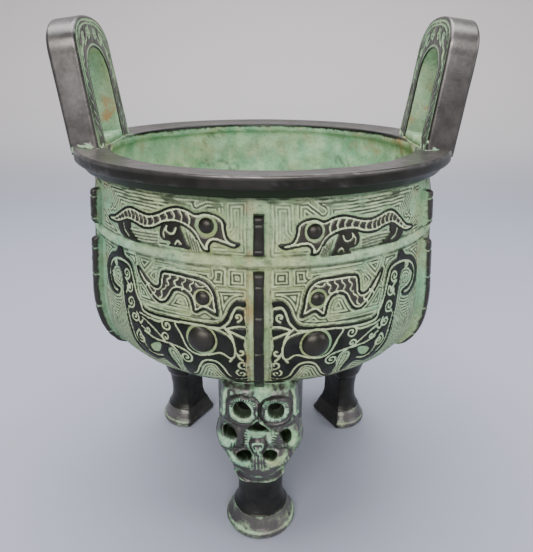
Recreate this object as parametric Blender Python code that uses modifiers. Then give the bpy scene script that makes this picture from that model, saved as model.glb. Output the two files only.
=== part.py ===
"""A small bronze ding, cast in one: a round bowl on three mask-topped legs, with two upright handles."""
import math

import bmesh
import bpy
from mathutils import Matrix, Vector

MM = 0.001

# Rim, in millimetres. Heights are above the floor that the feet stand on.
NECK_RADIUS = 54.0
RIM_TOP = 123.2
RIM_OVERHANG = 6.0
RIM_EDGE = 3.6
RIM_DISH = 0.8
RIM_ROUNDING = 0.5
RIM_LIP_INSET = 2.2
RIM_LIP_DEPTH = 2.4
RIM_LIP_DRAFT = 0.3
MOUTH_INSET = 5.1
MOUTH_EDGE = 2.6
MOUTH_BEVEL = 1.6

# Bowl
BELLY_SWELL = 3.0
BELLY_HEIGHT = 82.0
BOWL_DEPTH = 29.2
BOWL_SQUARENESS = 3.15
WALL = 3.6
RIDGE_DROP = 16.9
RIDGE_WIDTH = 2.4
RIDGE_PROUD = 0.7
RIDGE_BEVEL = 0.4
ROUND_STEPS = 54
OUTER_CURVE_STEPS = 9
INNER_CURVE_STEPS = 7

# Notched flanges
FLANGES = 6
FLANGE_THICKNESS = 3.0
FLANGE_PROUD = 2.9
FLANGE_GAP = 2.1
FLANGE_TOP_CLEAR = 4.4
FLANGE_FOOT_RISE = 8.6
FLANGE_CORNER = 1.6
NOTCH_WIDTH = 0.7
NOTCH_DEPTH = 0.6
UPPER_NOTCHES = 2
LOWER_NOTCHES = 4
EMBED = 1.8

# Eye bosses of the relief: turn from the mask's flange, height above the ridge, radius, stand-out
EYE_BOSSES = (
    ("small_dragon", 14.5, 8.3, 2.1, 1.3),
    ("creature", 15.5, -10.4, 2.1, 1.3),
    ("beast", 15.8, -22.8, 4.1, 2.3),
)
BOSS_SIDES = 10
BOSS_CROWN = ((0.4, 0.92), (0.78, 0.62))

# Handles, stood on the rim just outside its mouth
HANDLE_MOUTH_CLEAR = 0.5
HANDLE_LEAN = 7.5
HANDLE_THICKNESS = 8.3
HANDLE_WIDTH = 37.4
HANDLE_TAPER = 0.14
HANDLE_RISE = 36.9
HANDLE_SHOULDER = 10.5
HANDLE_SQUARENESS = 2.5
HANDLE_BAR = 7.5
HANDLE_CROWN = 8.9
SLOT_SILL = 1.6
SLOT_ARCH = 8.5
HANDLE_ARCH_STEPS = 12
SLOT_ARCH_STEPS = 8

# Legs
LEG_INSET = 18.7
LEG_FLAT = 0.5
LEG_SINK = 3.2
FOOT_RADIUS = 11.7
SHANK_RADIUS = 7.4
BLOCK_RADIUS = 13.2
LEG_SIDES = 12

# How a leg swells, as shares: the collar's height against the foot's flare, then against the block's
# spread, and last the mask's height against the block's spread
FOOT_FLARE = (
    (0.0, 0.86), (0.055, 1.0), (0.127, 0.80), (0.23, 0.55), (0.314, 0.32), (0.40, 0.13), (0.525, 0.0),
)
SHANK_SPREAD = ((0.72, 0.02), (0.915, 0.14), (1.0, 0.30))
BLOCK_SPREAD = ((0.095, 0.55), (0.21, 0.90), (0.35, 1.0))

# Mask on each leg
MASK_DROP = 3.6
MASK_TALL = 33.9
MASK_HALF_WIDTH = 12.8
MASK_PROUD = 1.5
COLLAR_DROP = 4.9
EYE_RING_RADIUS = 3.9
EYE_HOLE_RADIUS = 2.1
EYE_PROUD = 1.3
HOLE_DEPTH = 5.0

# Right half of the mask's outline, from chin to brow, as shares of its half width and height
MASK_SIDE = (
    (0.34, 0.00), (0.62, 0.07), (0.78, 0.17), (0.86, 0.26), (1.00, 0.34), (1.03, 0.46),
    (0.98, 0.57), (0.90, 0.62), (0.92, 0.80), (0.88, 0.95), (0.72, 1.00),
)

# Forms and holes of the mask: shares of its half width and height, then sizes in millimetres
EYE_PLACE = (0.36, 0.787)
BROW_PLACE = (0.48, 0.935)
BROW_SIZE = (2.4, 5.2, 1.5)
CHEEK_PLACE = (0.68, 0.375)
CHEEK_SIZE = (3.0, 4.2, 4.6)
JAW_PLACE = (0.37, 0.15)
JAW_SIZE = (2.6, 4.0, 2.8)
MOUTH_HOLE_PLACE = (0.30, 0.24)
MOUTH_HOLE_RADIUS = 1.0
CHEEK_HOLE_PLACE = (0.66, 0.505)
CHEEK_HOLE_RADIUS = 1.2
NOSE_RISE = 0.386
NOSE_SIZE = (4.0, 2.9, 3.6)
MUZZLE_RISE = 0.21
MUZZLE_SIZE = (3.2, 2.3, 6.0)
BRIDGE_HOLE_RISE = 0.593
BRIDGE_HOLE_RADIUS = 1.3

BRONZE = (0.055, 0.062, 0.052, 1.0)
BRONZE_ROUGHNESS = 0.5


def clear_scene():
    for obj in list(bpy.data.objects):
        bpy.data.objects.remove(obj, do_unlink=True)


def new_collection(name):
    group = bpy.data.collections.new(name)
    bpy.context.scene.collection.children.link(group)
    return group


def bronze_material():
    material = bpy.data.materials.new("patinated_bronze")
    material.use_nodes = True
    shader = material.node_tree.nodes["Principled BSDF"]
    shader.inputs["Base Color"].default_value = BRONZE
    shader.inputs["Metallic"].default_value = 0.6
    shader.inputs["Roughness"].default_value = BRONZE_ROUGHNESS
    return material


def polar(radius, turn, height):
    """A point in metres: turn is in degrees from the front, towards +X."""
    angle = math.radians(turn)
    return Vector((radius * math.sin(angle), -radius * math.cos(angle), height)) * MM


def superellipse(share, power):
    """How much of the full radius is left at a share of the full depth."""
    return (1.0 - min(1.0, max(0.0, share)) ** power) ** (1.0 / power)


def neck_height():
    return RIM_TOP - RIM_EDGE - RIM_LIP_DEPTH


def rim_radius():
    return NECK_RADIUS + RIM_OVERHANG


def mouth_radius():
    return NECK_RADIUS - MOUTH_INSET


def belly_radius():
    return NECK_RADIUS + BELLY_SWELL


def ridge_height():
    return neck_height() - RIDGE_DROP


def leg_radius():
    """Distance of a leg's centre line from the bowl's axis."""
    return belly_radius() - LEG_INSET


def leg_top():
    """Where a leg ends inside the solid bowl, before the hollow is cut."""
    reach = (leg_radius() + BLOCK_RADIUS) / belly_radius()
    return BELLY_HEIGHT - BOWL_DEPTH * superellipse(reach, BOWL_SQUARENESS) + LEG_SINK


def mask_top():
    return leg_top() - MASK_DROP


def collar_height():
    return mask_top() - MASK_TALL - COLLAR_DROP


def body_radius(height):
    """Outer radius of the bare bowl wall at a height."""
    if height >= BELLY_HEIGHT:
        share = (height - BELLY_HEIGHT) / (neck_height() - BELLY_HEIGHT)
        return belly_radius() - BELLY_SWELL * share
    return belly_radius() * superellipse((BELLY_HEIGHT - height) / BOWL_DEPTH, BOWL_SQUARENESS)


def bowl_curve(radius, depth, steps):
    """The rounded lower half of the bowl, from the belly down to the axis."""
    points = []
    for step in range(steps + 1):
        angle = math.radians(90.0) * step / steps
        across = math.cos(angle) ** (2.0 / BOWL_SQUARENESS) if step < steps else 0.0
        down = math.sin(angle) ** (2.0 / BOWL_SQUARENESS)
        points.append((radius * across, BELLY_HEIGHT - depth * down))
    return points


def mesh_object(name, mesh, group, cutter=False):
    obj = bpy.data.objects.new(name, mesh)
    group.objects.link(obj)
    if cutter:
        obj.hide_render = True
        obj.display_type = "WIRE"
    return obj


def turned(name, profile, group, steps=ROUND_STEPS, cutter=False):
    """A turned solid: the profile runs from the axis at the top, down outside, to the axis at the bottom."""
    mesh = bpy.data.meshes.new(name)
    points = [(radius * MM, 0.0, height * MM) for radius, height in profile]
    edges = [(index, index + 1) for index in range(len(points) - 1)]
    mesh.from_pydata(points, edges, [])
    obj = mesh_object(name, mesh, group, cutter)
    screw = obj.modifiers.new("turn", "SCREW")
    screw.steps = steps
    screw.render_steps = steps
    screw.use_merge_vertices = True
    screw.merge_threshold = 0.00001
    screw.use_smooth_shade = False
    return obj


def plate(name, outlines, thickness, group, cutter=False):
    """A flat outline, with any holes, as a slab centred on its own XY plane."""
    curve = bpy.data.curves.new(name, "CURVE")
    curve.dimensions = "2D"
    curve.fill_mode = "BOTH"
    curve.extrude = thickness * 0.5 * MM
    for outline in outlines:
        spline = curve.splines.new("POLY")
        spline.points.add(len(outline) - 1)
        for point, (across, up) in zip(spline.points, outline):
            point.co = (across * MM, up * MM, 0.0, 1.0)
        spline.use_cyclic_u = True
    source = bpy.data.objects.new(name + "_outline", curve)
    bpy.context.scene.collection.objects.link(source)
    bpy.context.view_layer.update()
    mesh = bpy.data.meshes.new_from_object(source.evaluated_get(bpy.context.evaluated_depsgraph_get()))
    work = bmesh.new()
    work.from_mesh(mesh)
    bmesh.ops.remove_doubles(work, verts=work.verts, dist=0.000001)
    bmesh.ops.recalc_face_normals(work, faces=work.faces)
    work.to_mesh(mesh)
    work.free()
    obj = mesh_object(name, mesh, group, cutter)
    bpy.data.objects.remove(source, do_unlink=True)
    return obj


def upright_frame(turn):
    """Local X points out from the axis, local Y up, local Z sideways."""
    angle = math.radians(turn)
    out = Vector((math.sin(angle), -math.cos(angle), 0.0))
    up = Vector((0.0, 0.0, 1.0))
    side = out.cross(up)
    return Matrix((out, up, side)).transposed().to_4x4()


def wall_profile():
    """The outer wall from the neck down to the axis, with the raised ridge in its place."""
    half = RIDGE_WIDTH * 0.5
    ridge = ridge_height()
    band = [
        (ridge + half, 0.0),
        (ridge + half - RIDGE_BEVEL, RIDGE_PROUD),
        (ridge - half + RIDGE_BEVEL, RIDGE_PROUD),
        (ridge - half, 0.0),
    ]
    curve = [height for _, height in bowl_curve(belly_radius(), BOWL_DEPTH, OUTER_CURVE_STEPS)]
    plain = [(height, 0.0) for height in [neck_height()] + curve if abs(height - ridge) > RIDGE_WIDTH]
    heights = sorted(band + plain, reverse=True)
    return [(body_radius(height) + proud, height) for height, proud in heights]


def bowl_solid(group):
    """The bowl and rim as a full turned body. The hollow is cut last."""
    lip_top = RIM_TOP - RIM_EDGE
    lip_radius = rim_radius() - RIM_LIP_INSET
    profile = [
        (0.0, RIM_TOP - RIM_DISH),
        (mouth_radius(), RIM_TOP - RIM_DISH),
        (rim_radius() - RIM_ROUNDING, RIM_TOP),
        (rim_radius(), RIM_TOP - RIM_ROUNDING),
        (rim_radius(), lip_top),
        (lip_radius, lip_top),
        (lip_radius - RIM_LIP_DRAFT, neck_height()),
    ]
    return turned("ding_vessel", profile + wall_profile(), group)


def hollow_cutter(group):
    """The space inside the bowl, with a small overhang left under the mouth."""
    above = RIM_TOP + MOUTH_EDGE
    under_mouth = RIM_TOP - RIM_DISH - MOUTH_EDGE
    profile = [
        (0.0, above),
        (mouth_radius(), above),
        (mouth_radius(), under_mouth),
        (NECK_RADIUS - WALL, under_mouth - MOUTH_BEVEL),
    ]
    profile += bowl_curve(belly_radius() - WALL, BOWL_DEPTH - WALL, INNER_CURVE_STEPS)
    return turned("hollow", profile, group, cutter=True)


def flange_outline(bottom, top, notches):
    """Side view of one flange part: out from the wall, up its notched edge, and back into the wall."""
    def edge(height):
        return body_radius(height) + FLANGE_PROUD
    corner = FLANGE_CORNER
    start = bottom + corner
    end = top - corner * 0.6
    outline = [(body_radius(bottom) - EMBED, bottom), (edge(bottom) - corner, bottom), (edge(start), start)]
    spans = max(notches, 1) * 2
    for index in range(notches):
        middle = start + (end - start) * (2 * index + 1) / spans
        low = middle - NOTCH_WIDTH * 0.5
        high = middle + NOTCH_WIDTH * 0.5
        outline += [
            (edge(low), low),
            (edge(low) - NOTCH_DEPTH, low),
            (edge(high) - NOTCH_DEPTH, high),
            (edge(high), high),
        ]
    outline += [(edge(end), end), (edge(top) - corner * 0.8, top), (body_radius(top) - EMBED, top)]
    inner_steps = 3
    for index in range(1, inner_steps):
        height = top + (bottom - top) * index / inner_steps
        outline.append((body_radius(height) - EMBED, height))
    return outline


def flanges(group):
    top = neck_height() - FLANGE_TOP_CLEAR
    foot = BELLY_HEIGHT - BOWL_DEPTH + FLANGE_FOOT_RISE
    parts = (
        ("upper", ridge_height() + FLANGE_GAP, top, UPPER_NOTCHES),
        ("lower", foot, ridge_height() - FLANGE_GAP, LOWER_NOTCHES),
    )
    made = []
    for index in range(FLANGES):
        turn = index * 360.0 / FLANGES
        for name, bottom, upper, notches in parts:
            outline = flange_outline(bottom, upper, notches)
            flange = plate("flange_%s_%d" % (name, index), [outline], FLANGE_THICKNESS, group, cutter=True)
            flange.matrix_world = upright_frame(turn)
            made.append(flange)
    return made


def dome(name, radius, proud, group):
    """A low round boss standing on local Z, with a straight root that sinks into the wall."""
    profile = [(0.0, proud)]
    profile += [(radius * across, proud * up) for across, up in BOSS_CROWN]
    profile += [(radius, 0.0), (radius, -EMBED), (0.0, -EMBED)]
    return turned(name, profile, group, steps=BOSS_SIDES, cutter=True)


def wall_normal(turn, height):
    step = 0.5
    rise = (body_radius(height + step) - body_radius(height - step)) / (2.0 * step)
    angle = math.radians(turn)
    return Vector((math.sin(angle), -math.cos(angle), -rise)).normalized()


def eye_bosses(group):
    made = []
    for index in range(0, FLANGES, 2):
        face = index * 360.0 / FLANGES
        for side in (-1, 1):
            for name, turn, rise, radius, proud in EYE_BOSSES:
                place = face + side * turn
                height = ridge_height() + rise
                boss = dome("eye_%s_%d_%d" % (name, index, side), radius, proud, group)
                tilt = wall_normal(place, height).to_track_quat("Z", "Y").to_matrix().to_4x4()
                boss.matrix_world = Matrix.Translation(polar(body_radius(height), place, height)) @ tilt
                made.append(boss)
    return made


def handle_outline():
    """Front view of a handle: a tapering slab with a flattened round top, sunk into the rim."""
    shoulder = HANDLE_RISE - HANDLE_SHOULDER
    half_low = HANDLE_WIDTH * 0.5
    half_top = half_low - HANDLE_TAPER * 0.5 * shoulder
    outline = [(-half_low, -EMBED), (half_low, -EMBED)]
    power = 2.0 / HANDLE_SQUARENESS
    for step in range(HANDLE_ARCH_STEPS + 1):
        angle = math.pi * step / HANDLE_ARCH_STEPS
        across = math.copysign(abs(math.cos(angle)) ** power, math.cos(angle))
        up = shoulder + HANDLE_SHOULDER * math.sin(angle) ** power
        outline.append((half_top * across, up))
    return outline


def slot_outline():
    """The opening in a handle, between its two bars and under its crown."""
    half = HANDLE_WIDTH * 0.5 - HANDLE_BAR
    rise = HANDLE_RISE - HANDLE_CROWN
    outline = [(-half, SLOT_SILL), (half, SLOT_SILL)]
    for step in range(SLOT_ARCH_STEPS + 1):
        angle = math.pi * step / SLOT_ARCH_STEPS
        outline.append((half * math.cos(angle), rise - SLOT_ARCH + SLOT_ARCH * math.sin(angle)))
    return outline


def handles(group):
    made = []
    for name, turn in (("right", 90.0), ("left", -90.0)):
        outlines = [handle_outline(), slot_outline()]
        slab = plate("handle_" + name, outlines, HANDLE_THICKNESS, group, cutter=True)
        angle = math.radians(turn)
        out = Vector((math.sin(angle), -math.cos(angle), 0.0))
        lean = math.radians(HANDLE_LEAN)
        up = Vector((0.0, 0.0, math.cos(lean))) + out * math.sin(lean)
        side = up.cross(out).normalized()
        face = side.cross(up).normalized()
        frame = Matrix((side, up, face)).transposed().to_4x4()
        middle = mouth_radius() + HANDLE_MOUTH_CLEAR + HANDLE_THICKNESS * 0.5 / math.cos(lean)
        slab.matrix_world = Matrix.Translation(polar(middle, turn, RIM_TOP - RIM_DISH * 0.5)) @ frame
        made.append(slab)
    return made


def leg_sections():
    """Height and radius of a leg, from the floor up: foot band, shank, collar and the mask's block."""
    collar = collar_height()
    sections = []
    for share, out in FOOT_FLARE:
        sections.append((collar * share, SHANK_RADIUS + (FOOT_RADIUS - SHANK_RADIUS) * out))
    for share, out in SHANK_SPREAD:
        sections.append((collar * share, SHANK_RADIUS + (BLOCK_RADIUS - SHANK_RADIUS) * out))
    for share, out in BLOCK_SPREAD:
        sections.append((collar + MASK_TALL * share, SHANK_RADIUS + (BLOCK_RADIUS - SHANK_RADIUS) * out))
    sections.append((leg_top(), BLOCK_RADIUS))
    return sections


def leg_ring(radius, height):
    """A round section with its inner side cut flat, in the leg's own frame: X out, Y sideways."""
    ring = []
    open_angle = math.pi - math.acos(LEG_FLAT)
    for side in range(LEG_SIDES + 1):
        angle = -open_angle + 2.0 * open_angle * side / LEG_SIDES
        ring.append(Vector((radius * math.cos(angle), radius * math.sin(angle), height)) * MM)
    return ring


def leg_mesh():
    work = bmesh.new()
    loops = []
    for height, radius in leg_sections():
        loops.append([work.verts.new(point) for point in leg_ring(radius, height)])
    count = LEG_SIDES + 1
    for lower, upper in zip(loops, loops[1:]):
        for side in range(count):
            nxt = (side + 1) % count
            work.faces.new((lower[side], lower[nxt], upper[nxt], upper[side]))
    work.faces.new(list(reversed(loops[0])))
    work.faces.new(loops[-1])
    mesh = bpy.data.meshes.new("leg")
    work.to_mesh(mesh)
    work.free()
    return mesh


def mask_point(across, up):
    """A place on the mask, from shares of its half width and its height."""
    return MASK_HALF_WIDTH * across, mask_top() - MASK_TALL * (1.0 - up)


def mask_outline():
    """Front view of the mask: square brow, lobed cheeks and a chin that draws in to the collar."""
    points = [mask_point(across, up) for across, up in MASK_SIDE]
    return points + [(-across, up) for across, up in reversed(points)]


def ball(name, radii, group):
    """A lumpy form of the mask, given by its three half sizes."""
    work = bmesh.new()
    bmesh.ops.create_uvsphere(work, u_segments=10, v_segments=6, radius=1.0)
    bmesh.ops.scale(work, vec=Vector(radii) * MM, verts=work.verts)
    mesh = bpy.data.meshes.new(name)
    work.to_mesh(mesh)
    work.free()
    return mesh_object(name, mesh, group, cutter=True)


def drum(name, radius, depth, sides, group, stretch=1.0):
    """A short cylinder along local X, centred at its origin."""
    work = bmesh.new()
    bmesh.ops.create_cone(
        work, cap_ends=True, segments=sides, radius1=radius * MM, radius2=radius * MM, depth=depth * MM,
        matrix=Matrix.Rotation(math.radians(90.0), 4, "Y"),
    )
    bmesh.ops.scale(work, vec=(1.0, stretch, 1.0), verts=work.verts)
    mesh = bpy.data.meshes.new(name)
    work.to_mesh(mesh)
    work.free()
    return mesh_object(name, mesh, group, cutter=True)


def mask_details(group, tag):
    """Raised forms and deep holes of a mask, in the leg frame: X out of the face, Y sideways, Z up."""
    face = leg_radius() + BLOCK_RADIUS + MASK_PROUD
    pit = HOLE_DEPTH * 2.0
    raised = []
    holes = []

    def put(obj, out, place, side, kind):
        sideways, height = mask_point(place[0] * side, place[1])
        obj.location = Vector((face + out, sideways, height)) * MM
        kind.append(obj)

    for side in (-1, 1):
        name = "%s_%d" % (tag, side)
        ring = drum("eye_ring_" + name, EYE_RING_RADIUS, EYE_PROUD * 2.0, 12, group)
        eye_hole = drum("eye_hole_" + name, EYE_HOLE_RADIUS, pit, 8, group)
        mouth_hole = drum("mouth_hole_" + name, MOUTH_HOLE_RADIUS, pit, 8, group, stretch=1.9)
        cheek_hole = drum("cheek_hole_" + name, CHEEK_HOLE_RADIUS, pit, 6, group, stretch=0.8)
        put(ring, 0.0, EYE_PLACE, side, raised)
        put(ball("brow_" + name, BROW_SIZE, group), -0.4, BROW_PLACE, side, raised)
        put(ball("cheek_" + name, CHEEK_SIZE, group), -1.2, CHEEK_PLACE, side, raised)
        put(ball("jaw_" + name, JAW_SIZE, group), -1.8, JAW_PLACE, side, raised)
        put(eye_hole, EYE_PROUD, EYE_PLACE, side, holes)
        put(mouth_hole, 0.0, MOUTH_HOLE_PLACE, side, holes)
        put(cheek_hole, 1.0, CHEEK_HOLE_PLACE, side, holes)
    bridge_hole = drum("bridge_hole_" + tag, BRIDGE_HOLE_RADIUS, pit, 3, group, stretch=2.2)
    put(ball("nose_" + tag, NOSE_SIZE, group), -0.2, (0.0, NOSE_RISE), 1, raised)
    put(ball("muzzle_" + tag, MUZZLE_SIZE, group), -1.6, (0.0, MUZZLE_RISE), 1, raised)
    put(bridge_hole, 1.0, (0.0, BRIDGE_HOLE_RISE), 1, holes)
    return raised, holes


def place_in_leg_frame(obj, turn):
    """Turns a shape made in the frame X out, Y sideways, Z up, so that it faces out at a turn."""
    obj.matrix_world = Matrix.Rotation(math.radians(turn - 90.0), 4, "Z") @ obj.matrix_basis


def legs(group):
    raised = []
    holes = []
    mesh = leg_mesh()
    for index in range(0, FLANGES, 2):
        turn = index * 360.0 / FLANGES
        leg = mesh_object("leg_%d" % index, mesh, group, cutter=True)
        leg.location = Vector((leg_radius(), 0.0, 0.0)) * MM
        depth = MASK_PROUD + BLOCK_RADIUS * 0.6
        shield = plate("mask_%d" % index, [mask_outline()], depth, group, cutter=True)
        stand = Matrix(((0.0, 0.0, 1.0), (1.0, 0.0, 0.0), (0.0, 1.0, 0.0))).to_4x4()
        out = leg_radius() + BLOCK_RADIUS + MASK_PROUD - depth * 0.5
        shield.matrix_world = Matrix.Translation(Vector((out, 0.0, 0.0)) * MM) @ stand
        forms, pits = mask_details(group, str(index))
        for obj in [leg, shield] + forms:
            place_in_leg_frame(obj, turn)
            raised.append(obj)
        for obj in pits:
            place_in_leg_frame(obj, turn)
            holes.append(obj)
    return raised, holes


def boolean(target, other, operation):
    modifier = target.modifiers.new(other.name, "BOOLEAN")
    modifier.operation = operation
    modifier.object = other
    modifier.solver = "EXACT"


def main():
    clear_scene()
    parts = new_collection("bronze_ding_vessel")
    cutters = new_collection("joined_and_cut_shapes")
    vessel = bowl_solid(parts)
    leg_forms, leg_holes = legs(cutters)
    for form in flanges(cutters) + handles(cutters) + eye_bosses(cutters) + leg_forms:
        boolean(vessel, form, "UNION")
    for hole in leg_holes:
        boolean(vessel, hole, "DIFFERENCE")
    boolean(vessel, hollow_cutter(cutters), "DIFFERENCE")
    vessel.data.materials.append(bronze_material())


main()
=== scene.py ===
"""Looks for a small bronze ding: cast relief, worn dark metal and pale green patina in its recesses."""

import math

import bpy
import numpy as np
from mathutils import Matrix, Vector


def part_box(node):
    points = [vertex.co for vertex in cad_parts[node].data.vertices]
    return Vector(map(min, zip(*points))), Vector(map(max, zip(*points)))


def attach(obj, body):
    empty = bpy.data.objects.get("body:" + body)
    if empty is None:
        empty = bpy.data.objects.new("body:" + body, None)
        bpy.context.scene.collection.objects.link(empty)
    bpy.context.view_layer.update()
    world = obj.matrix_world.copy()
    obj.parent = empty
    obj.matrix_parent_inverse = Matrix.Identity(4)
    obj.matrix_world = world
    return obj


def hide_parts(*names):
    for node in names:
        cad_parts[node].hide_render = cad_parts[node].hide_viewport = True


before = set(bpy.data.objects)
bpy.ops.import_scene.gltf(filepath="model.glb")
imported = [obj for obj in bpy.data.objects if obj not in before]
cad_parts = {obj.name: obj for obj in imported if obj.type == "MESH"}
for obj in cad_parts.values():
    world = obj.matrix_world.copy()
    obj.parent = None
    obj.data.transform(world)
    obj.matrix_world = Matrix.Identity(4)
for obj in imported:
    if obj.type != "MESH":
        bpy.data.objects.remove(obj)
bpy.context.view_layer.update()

NODE = "ding_vessel"
MM = 0.001
node_low, node_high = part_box(NODE)

# Bowl, in millimetres above the floor or from the bowl's axis
RIM_RADIUS = (node_high.y - node_low.y) * 500.0 - 0.13
RIM_TOP = 123.2
RIM_EDGE = 3.6
RIM_DISH = 0.8
LIP_INSET = 2.2
LIP_DEPTH = 2.4
NECK_RADIUS = 54.0
NECK_TOP = RIM_TOP - RIM_EDGE - LIP_DEPTH
MOUTH_RADIUS = 48.9
MOUTH_EDGE = 2.6
BELLY_RADIUS = 57.0
BELLY_HEIGHT = 82.0
BOWL_DEPTH = 29.2
BOWL_SQUARENESS = 3.15
WALL = 3.6
RIDGE_HEIGHT = 100.3
RIDGE_HALF = 1.2
RIDGE_PROUD = 0.7

# Relief
CELLS = (0.268, 0.284, 0.284)
RELIEF_PROUD = 0.4
RELIEF_SUNK = 0.45
RELIEF_END = 40.6
SKIN = 1.7
SHELL_GAP = 1.2
UNDER_GAP = 0.55
BAND = 1.5
BORDER_END = 39.4
BOSS_SIDES = 40
LAYERS = ("height", "wear", "brown", "deep", "chalk")

# Flanges
FLANGE_HALF = 1.5
FLANGE_PROUD = 2.82

# Handles
HANDLE_LEAN = math.radians(7.5)
HANDLE_HALF_THICK = 4.4
HANDLE_HALF_WIDTH = 18.7
HANDLE_TAPER = 0.07
HANDLE_RISE = 36.9
HANDLE_SHOULDER = 10.5
HANDLE_SQUARENESS = 2.5
HANDLE_BAR = 8.5
HANDLE_CROWN = 9.3
SLOT_ARCH = 8.5
SLOT_SILL = 1.6
HANDLE_ROOT = 1.6
SHOULDER_RISE = HANDLE_RISE - HANDLE_SHOULDER
HANDLE_HALF_TOP = HANDLE_HALF_WIDTH - HANDLE_TAPER * SHOULDER_RISE
SLOT_HALF = HANDLE_HALF_WIDTH - HANDLE_BAR
SLOT_RISE = HANDLE_RISE - HANDLE_CROWN
HANDLE_CORNER = 0.7
SLOT_WALL, ENGRAVED, PLAIN = 0, 1, 2

# Legs
LEG_RADIUS = 38.3
LEG_TOP = 66.2
LEG_FLAT = 0.5
LEG_FLAT_REAR = 0.64
MASK_FACE = 53.0
MASK_TOP = 62.5
MASK_BOTTOM = 26.3
MASK_HALF = 12.8
MASK_REAR = 47.0
MASK_GRID, MASK_REAR_GRID = (136, 104), (18, 12)

GROUND, MID, TOP = 0.0, 0.42, 1.0
THIRD = 120.0


def superellipse(share, power):
    return (1.0 - np.clip(share, 0.0, 1.0) ** power) ** (1.0 / power)


def body_radius(height):
    """Outer radius of the bare wall at a height, as in the solid."""
    height = np.asarray(height, float)
    above = BELLY_RADIUS - (BELLY_RADIUS - NECK_RADIUS) * (height - BELLY_HEIGHT) / (NECK_TOP - BELLY_HEIGHT)
    below = BELLY_RADIUS * superellipse((BELLY_HEIGHT - height) / BOWL_DEPTH, BOWL_SQUARENESS)
    return np.where(height >= BELLY_HEIGHT, above, below)


def wall_course():
    """Length down the outer wall from the ridge, with the height and radius there."""
    upper = np.linspace(NECK_TOP, BELLY_HEIGHT, 400)
    turn = np.linspace(0.0, math.pi / 2.0, 1400)[1:]
    lower = BELLY_HEIGHT - BOWL_DEPTH * np.sin(turn) ** (2.0 / BOWL_SQUARENESS)
    height = np.concatenate([upper, lower])
    radius = body_radius(height)
    down = np.concatenate([[0.0], np.cumsum(np.hypot(np.diff(height), np.diff(radius)))])
    return down - np.interp(-RIDGE_HEIGHT, -height, down), height, radius


COURSE, COURSE_HEIGHT, COURSE_RADIUS = wall_course()


def wall_at(down):
    """Height, radius and outward direction (radius, height) of the wall at a length down from the ridge."""
    step = 0.2
    places = (down, down - step, down + step)
    height, above, below = [np.interp(place, COURSE, COURSE_HEIGHT) for place in places]
    radius, before, after = [np.interp(place, COURSE, COURSE_RADIUS) for place in places]
    length = np.hypot(below - above, after - before) + 1e-9
    return height, radius, (above - below) / length, (after - before) / length


def roof(radius):
    """Height of the middle of the wall above a place under the bowl."""
    inset = 1.8
    down = np.linspace(COURSE[-1], 20.0, 300)
    height, reach, out, up = wall_at(down)
    return np.interp(radius, reach - inset * out, height - inset * up, right=90.0)


def ease(value, low, high):
    share = np.clip((value - low) / (high - low), 0.0, 1.0)
    return share * share * (3.0 - 2.0 * share)


def fall(value, low, high):
    return 1.0 - ease(value, low, high)


def cloud(points, size, seed):
    """Smooth random values from -1 to 1, with features of the given size in millimetres."""
    rng = np.random.default_rng(seed)
    lattice = rng.uniform(-1.0, 1.0, (32, 32, 32))
    place = np.asarray(points, float) / size + rng.uniform(0.0, 32.0, 3)
    cell = np.floor(place).astype(int)
    part = place - cell
    part = part * part * (3.0 - 2.0 * part)
    found = np.zeros(place.shape[:-1])
    for corner in np.ndindex(2, 2, 2):
        weight = np.ones(place.shape[:-1])
        index = []
        for axis in range(3):
            index.append((cell[..., axis] + corner[axis]) % 32)
            weight = weight * (part[..., axis] if corner[axis] else 1.0 - part[..., axis])
        found += weight * lattice[tuple(index)]
    return found


def bell(value, middle, width):
    """A soft bump round a value, from 0 up to 1."""
    return np.exp(-((value - middle) / width) ** 2)


def clouds(points, *layers):
    """A sum of clouds, each given as its size, seed and strength."""
    return sum(strength * cloud(points, size, seed) for size, seed, strength in layers)


def smooth_line(points, closed=False, spacing=0.45):
    """A smooth curve through given points, as short segments."""
    if closed:
        pts = np.pad(np.array(points, float), ((1, 2), (0, 0)), mode="wrap")
    else:
        pts = np.pad(np.array(points, float), ((1, 1), (0, 0)), mode="edge")
    out = []
    for a, b, c, d in zip(pts, pts[1:], pts[2:], pts[3:]):
        steps = max(2, int(math.hypot(*(c - b)) / spacing))
        t = np.arange(steps)[:, None] / steps
        cubic = (3 * b - 3 * c + d - a) * t ** 3 + (2 * a - 5 * b + 4 * c - d) * t ** 2
        out.append(0.5 * (2 * b + (c - a) * t + cubic))
    return np.concatenate(out if closed else out + [pts[-1:]])


def distance(across, down, line):
    best = np.full(across.shape, 1e9)
    for (ax, ay), (bx, by) in zip(line[:-1], line[1:]):
        dx, dy = bx - ax, by - ay
        t = np.clip(((across - ax) * dx + (down - ay) * dy) / (dx * dx + dy * dy + 1e-12), 0.0, 1.0)
        best = np.minimum(best, (across - ax - t * dx) ** 2 + (down - ay - t * dy) ** 2)
    return np.sqrt(best)


def inside(across, down, line):
    found = np.zeros(across.shape, bool)
    for (ax, ay), (bx, by) in zip(line, np.roll(line, -1, 0)):
        if ay != by:
            crosses = (ay > down) != (by > down)
            found ^= crosses & (across < (bx - ax) * (down - ay) / (by - ay) + ax)
    return found


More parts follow.
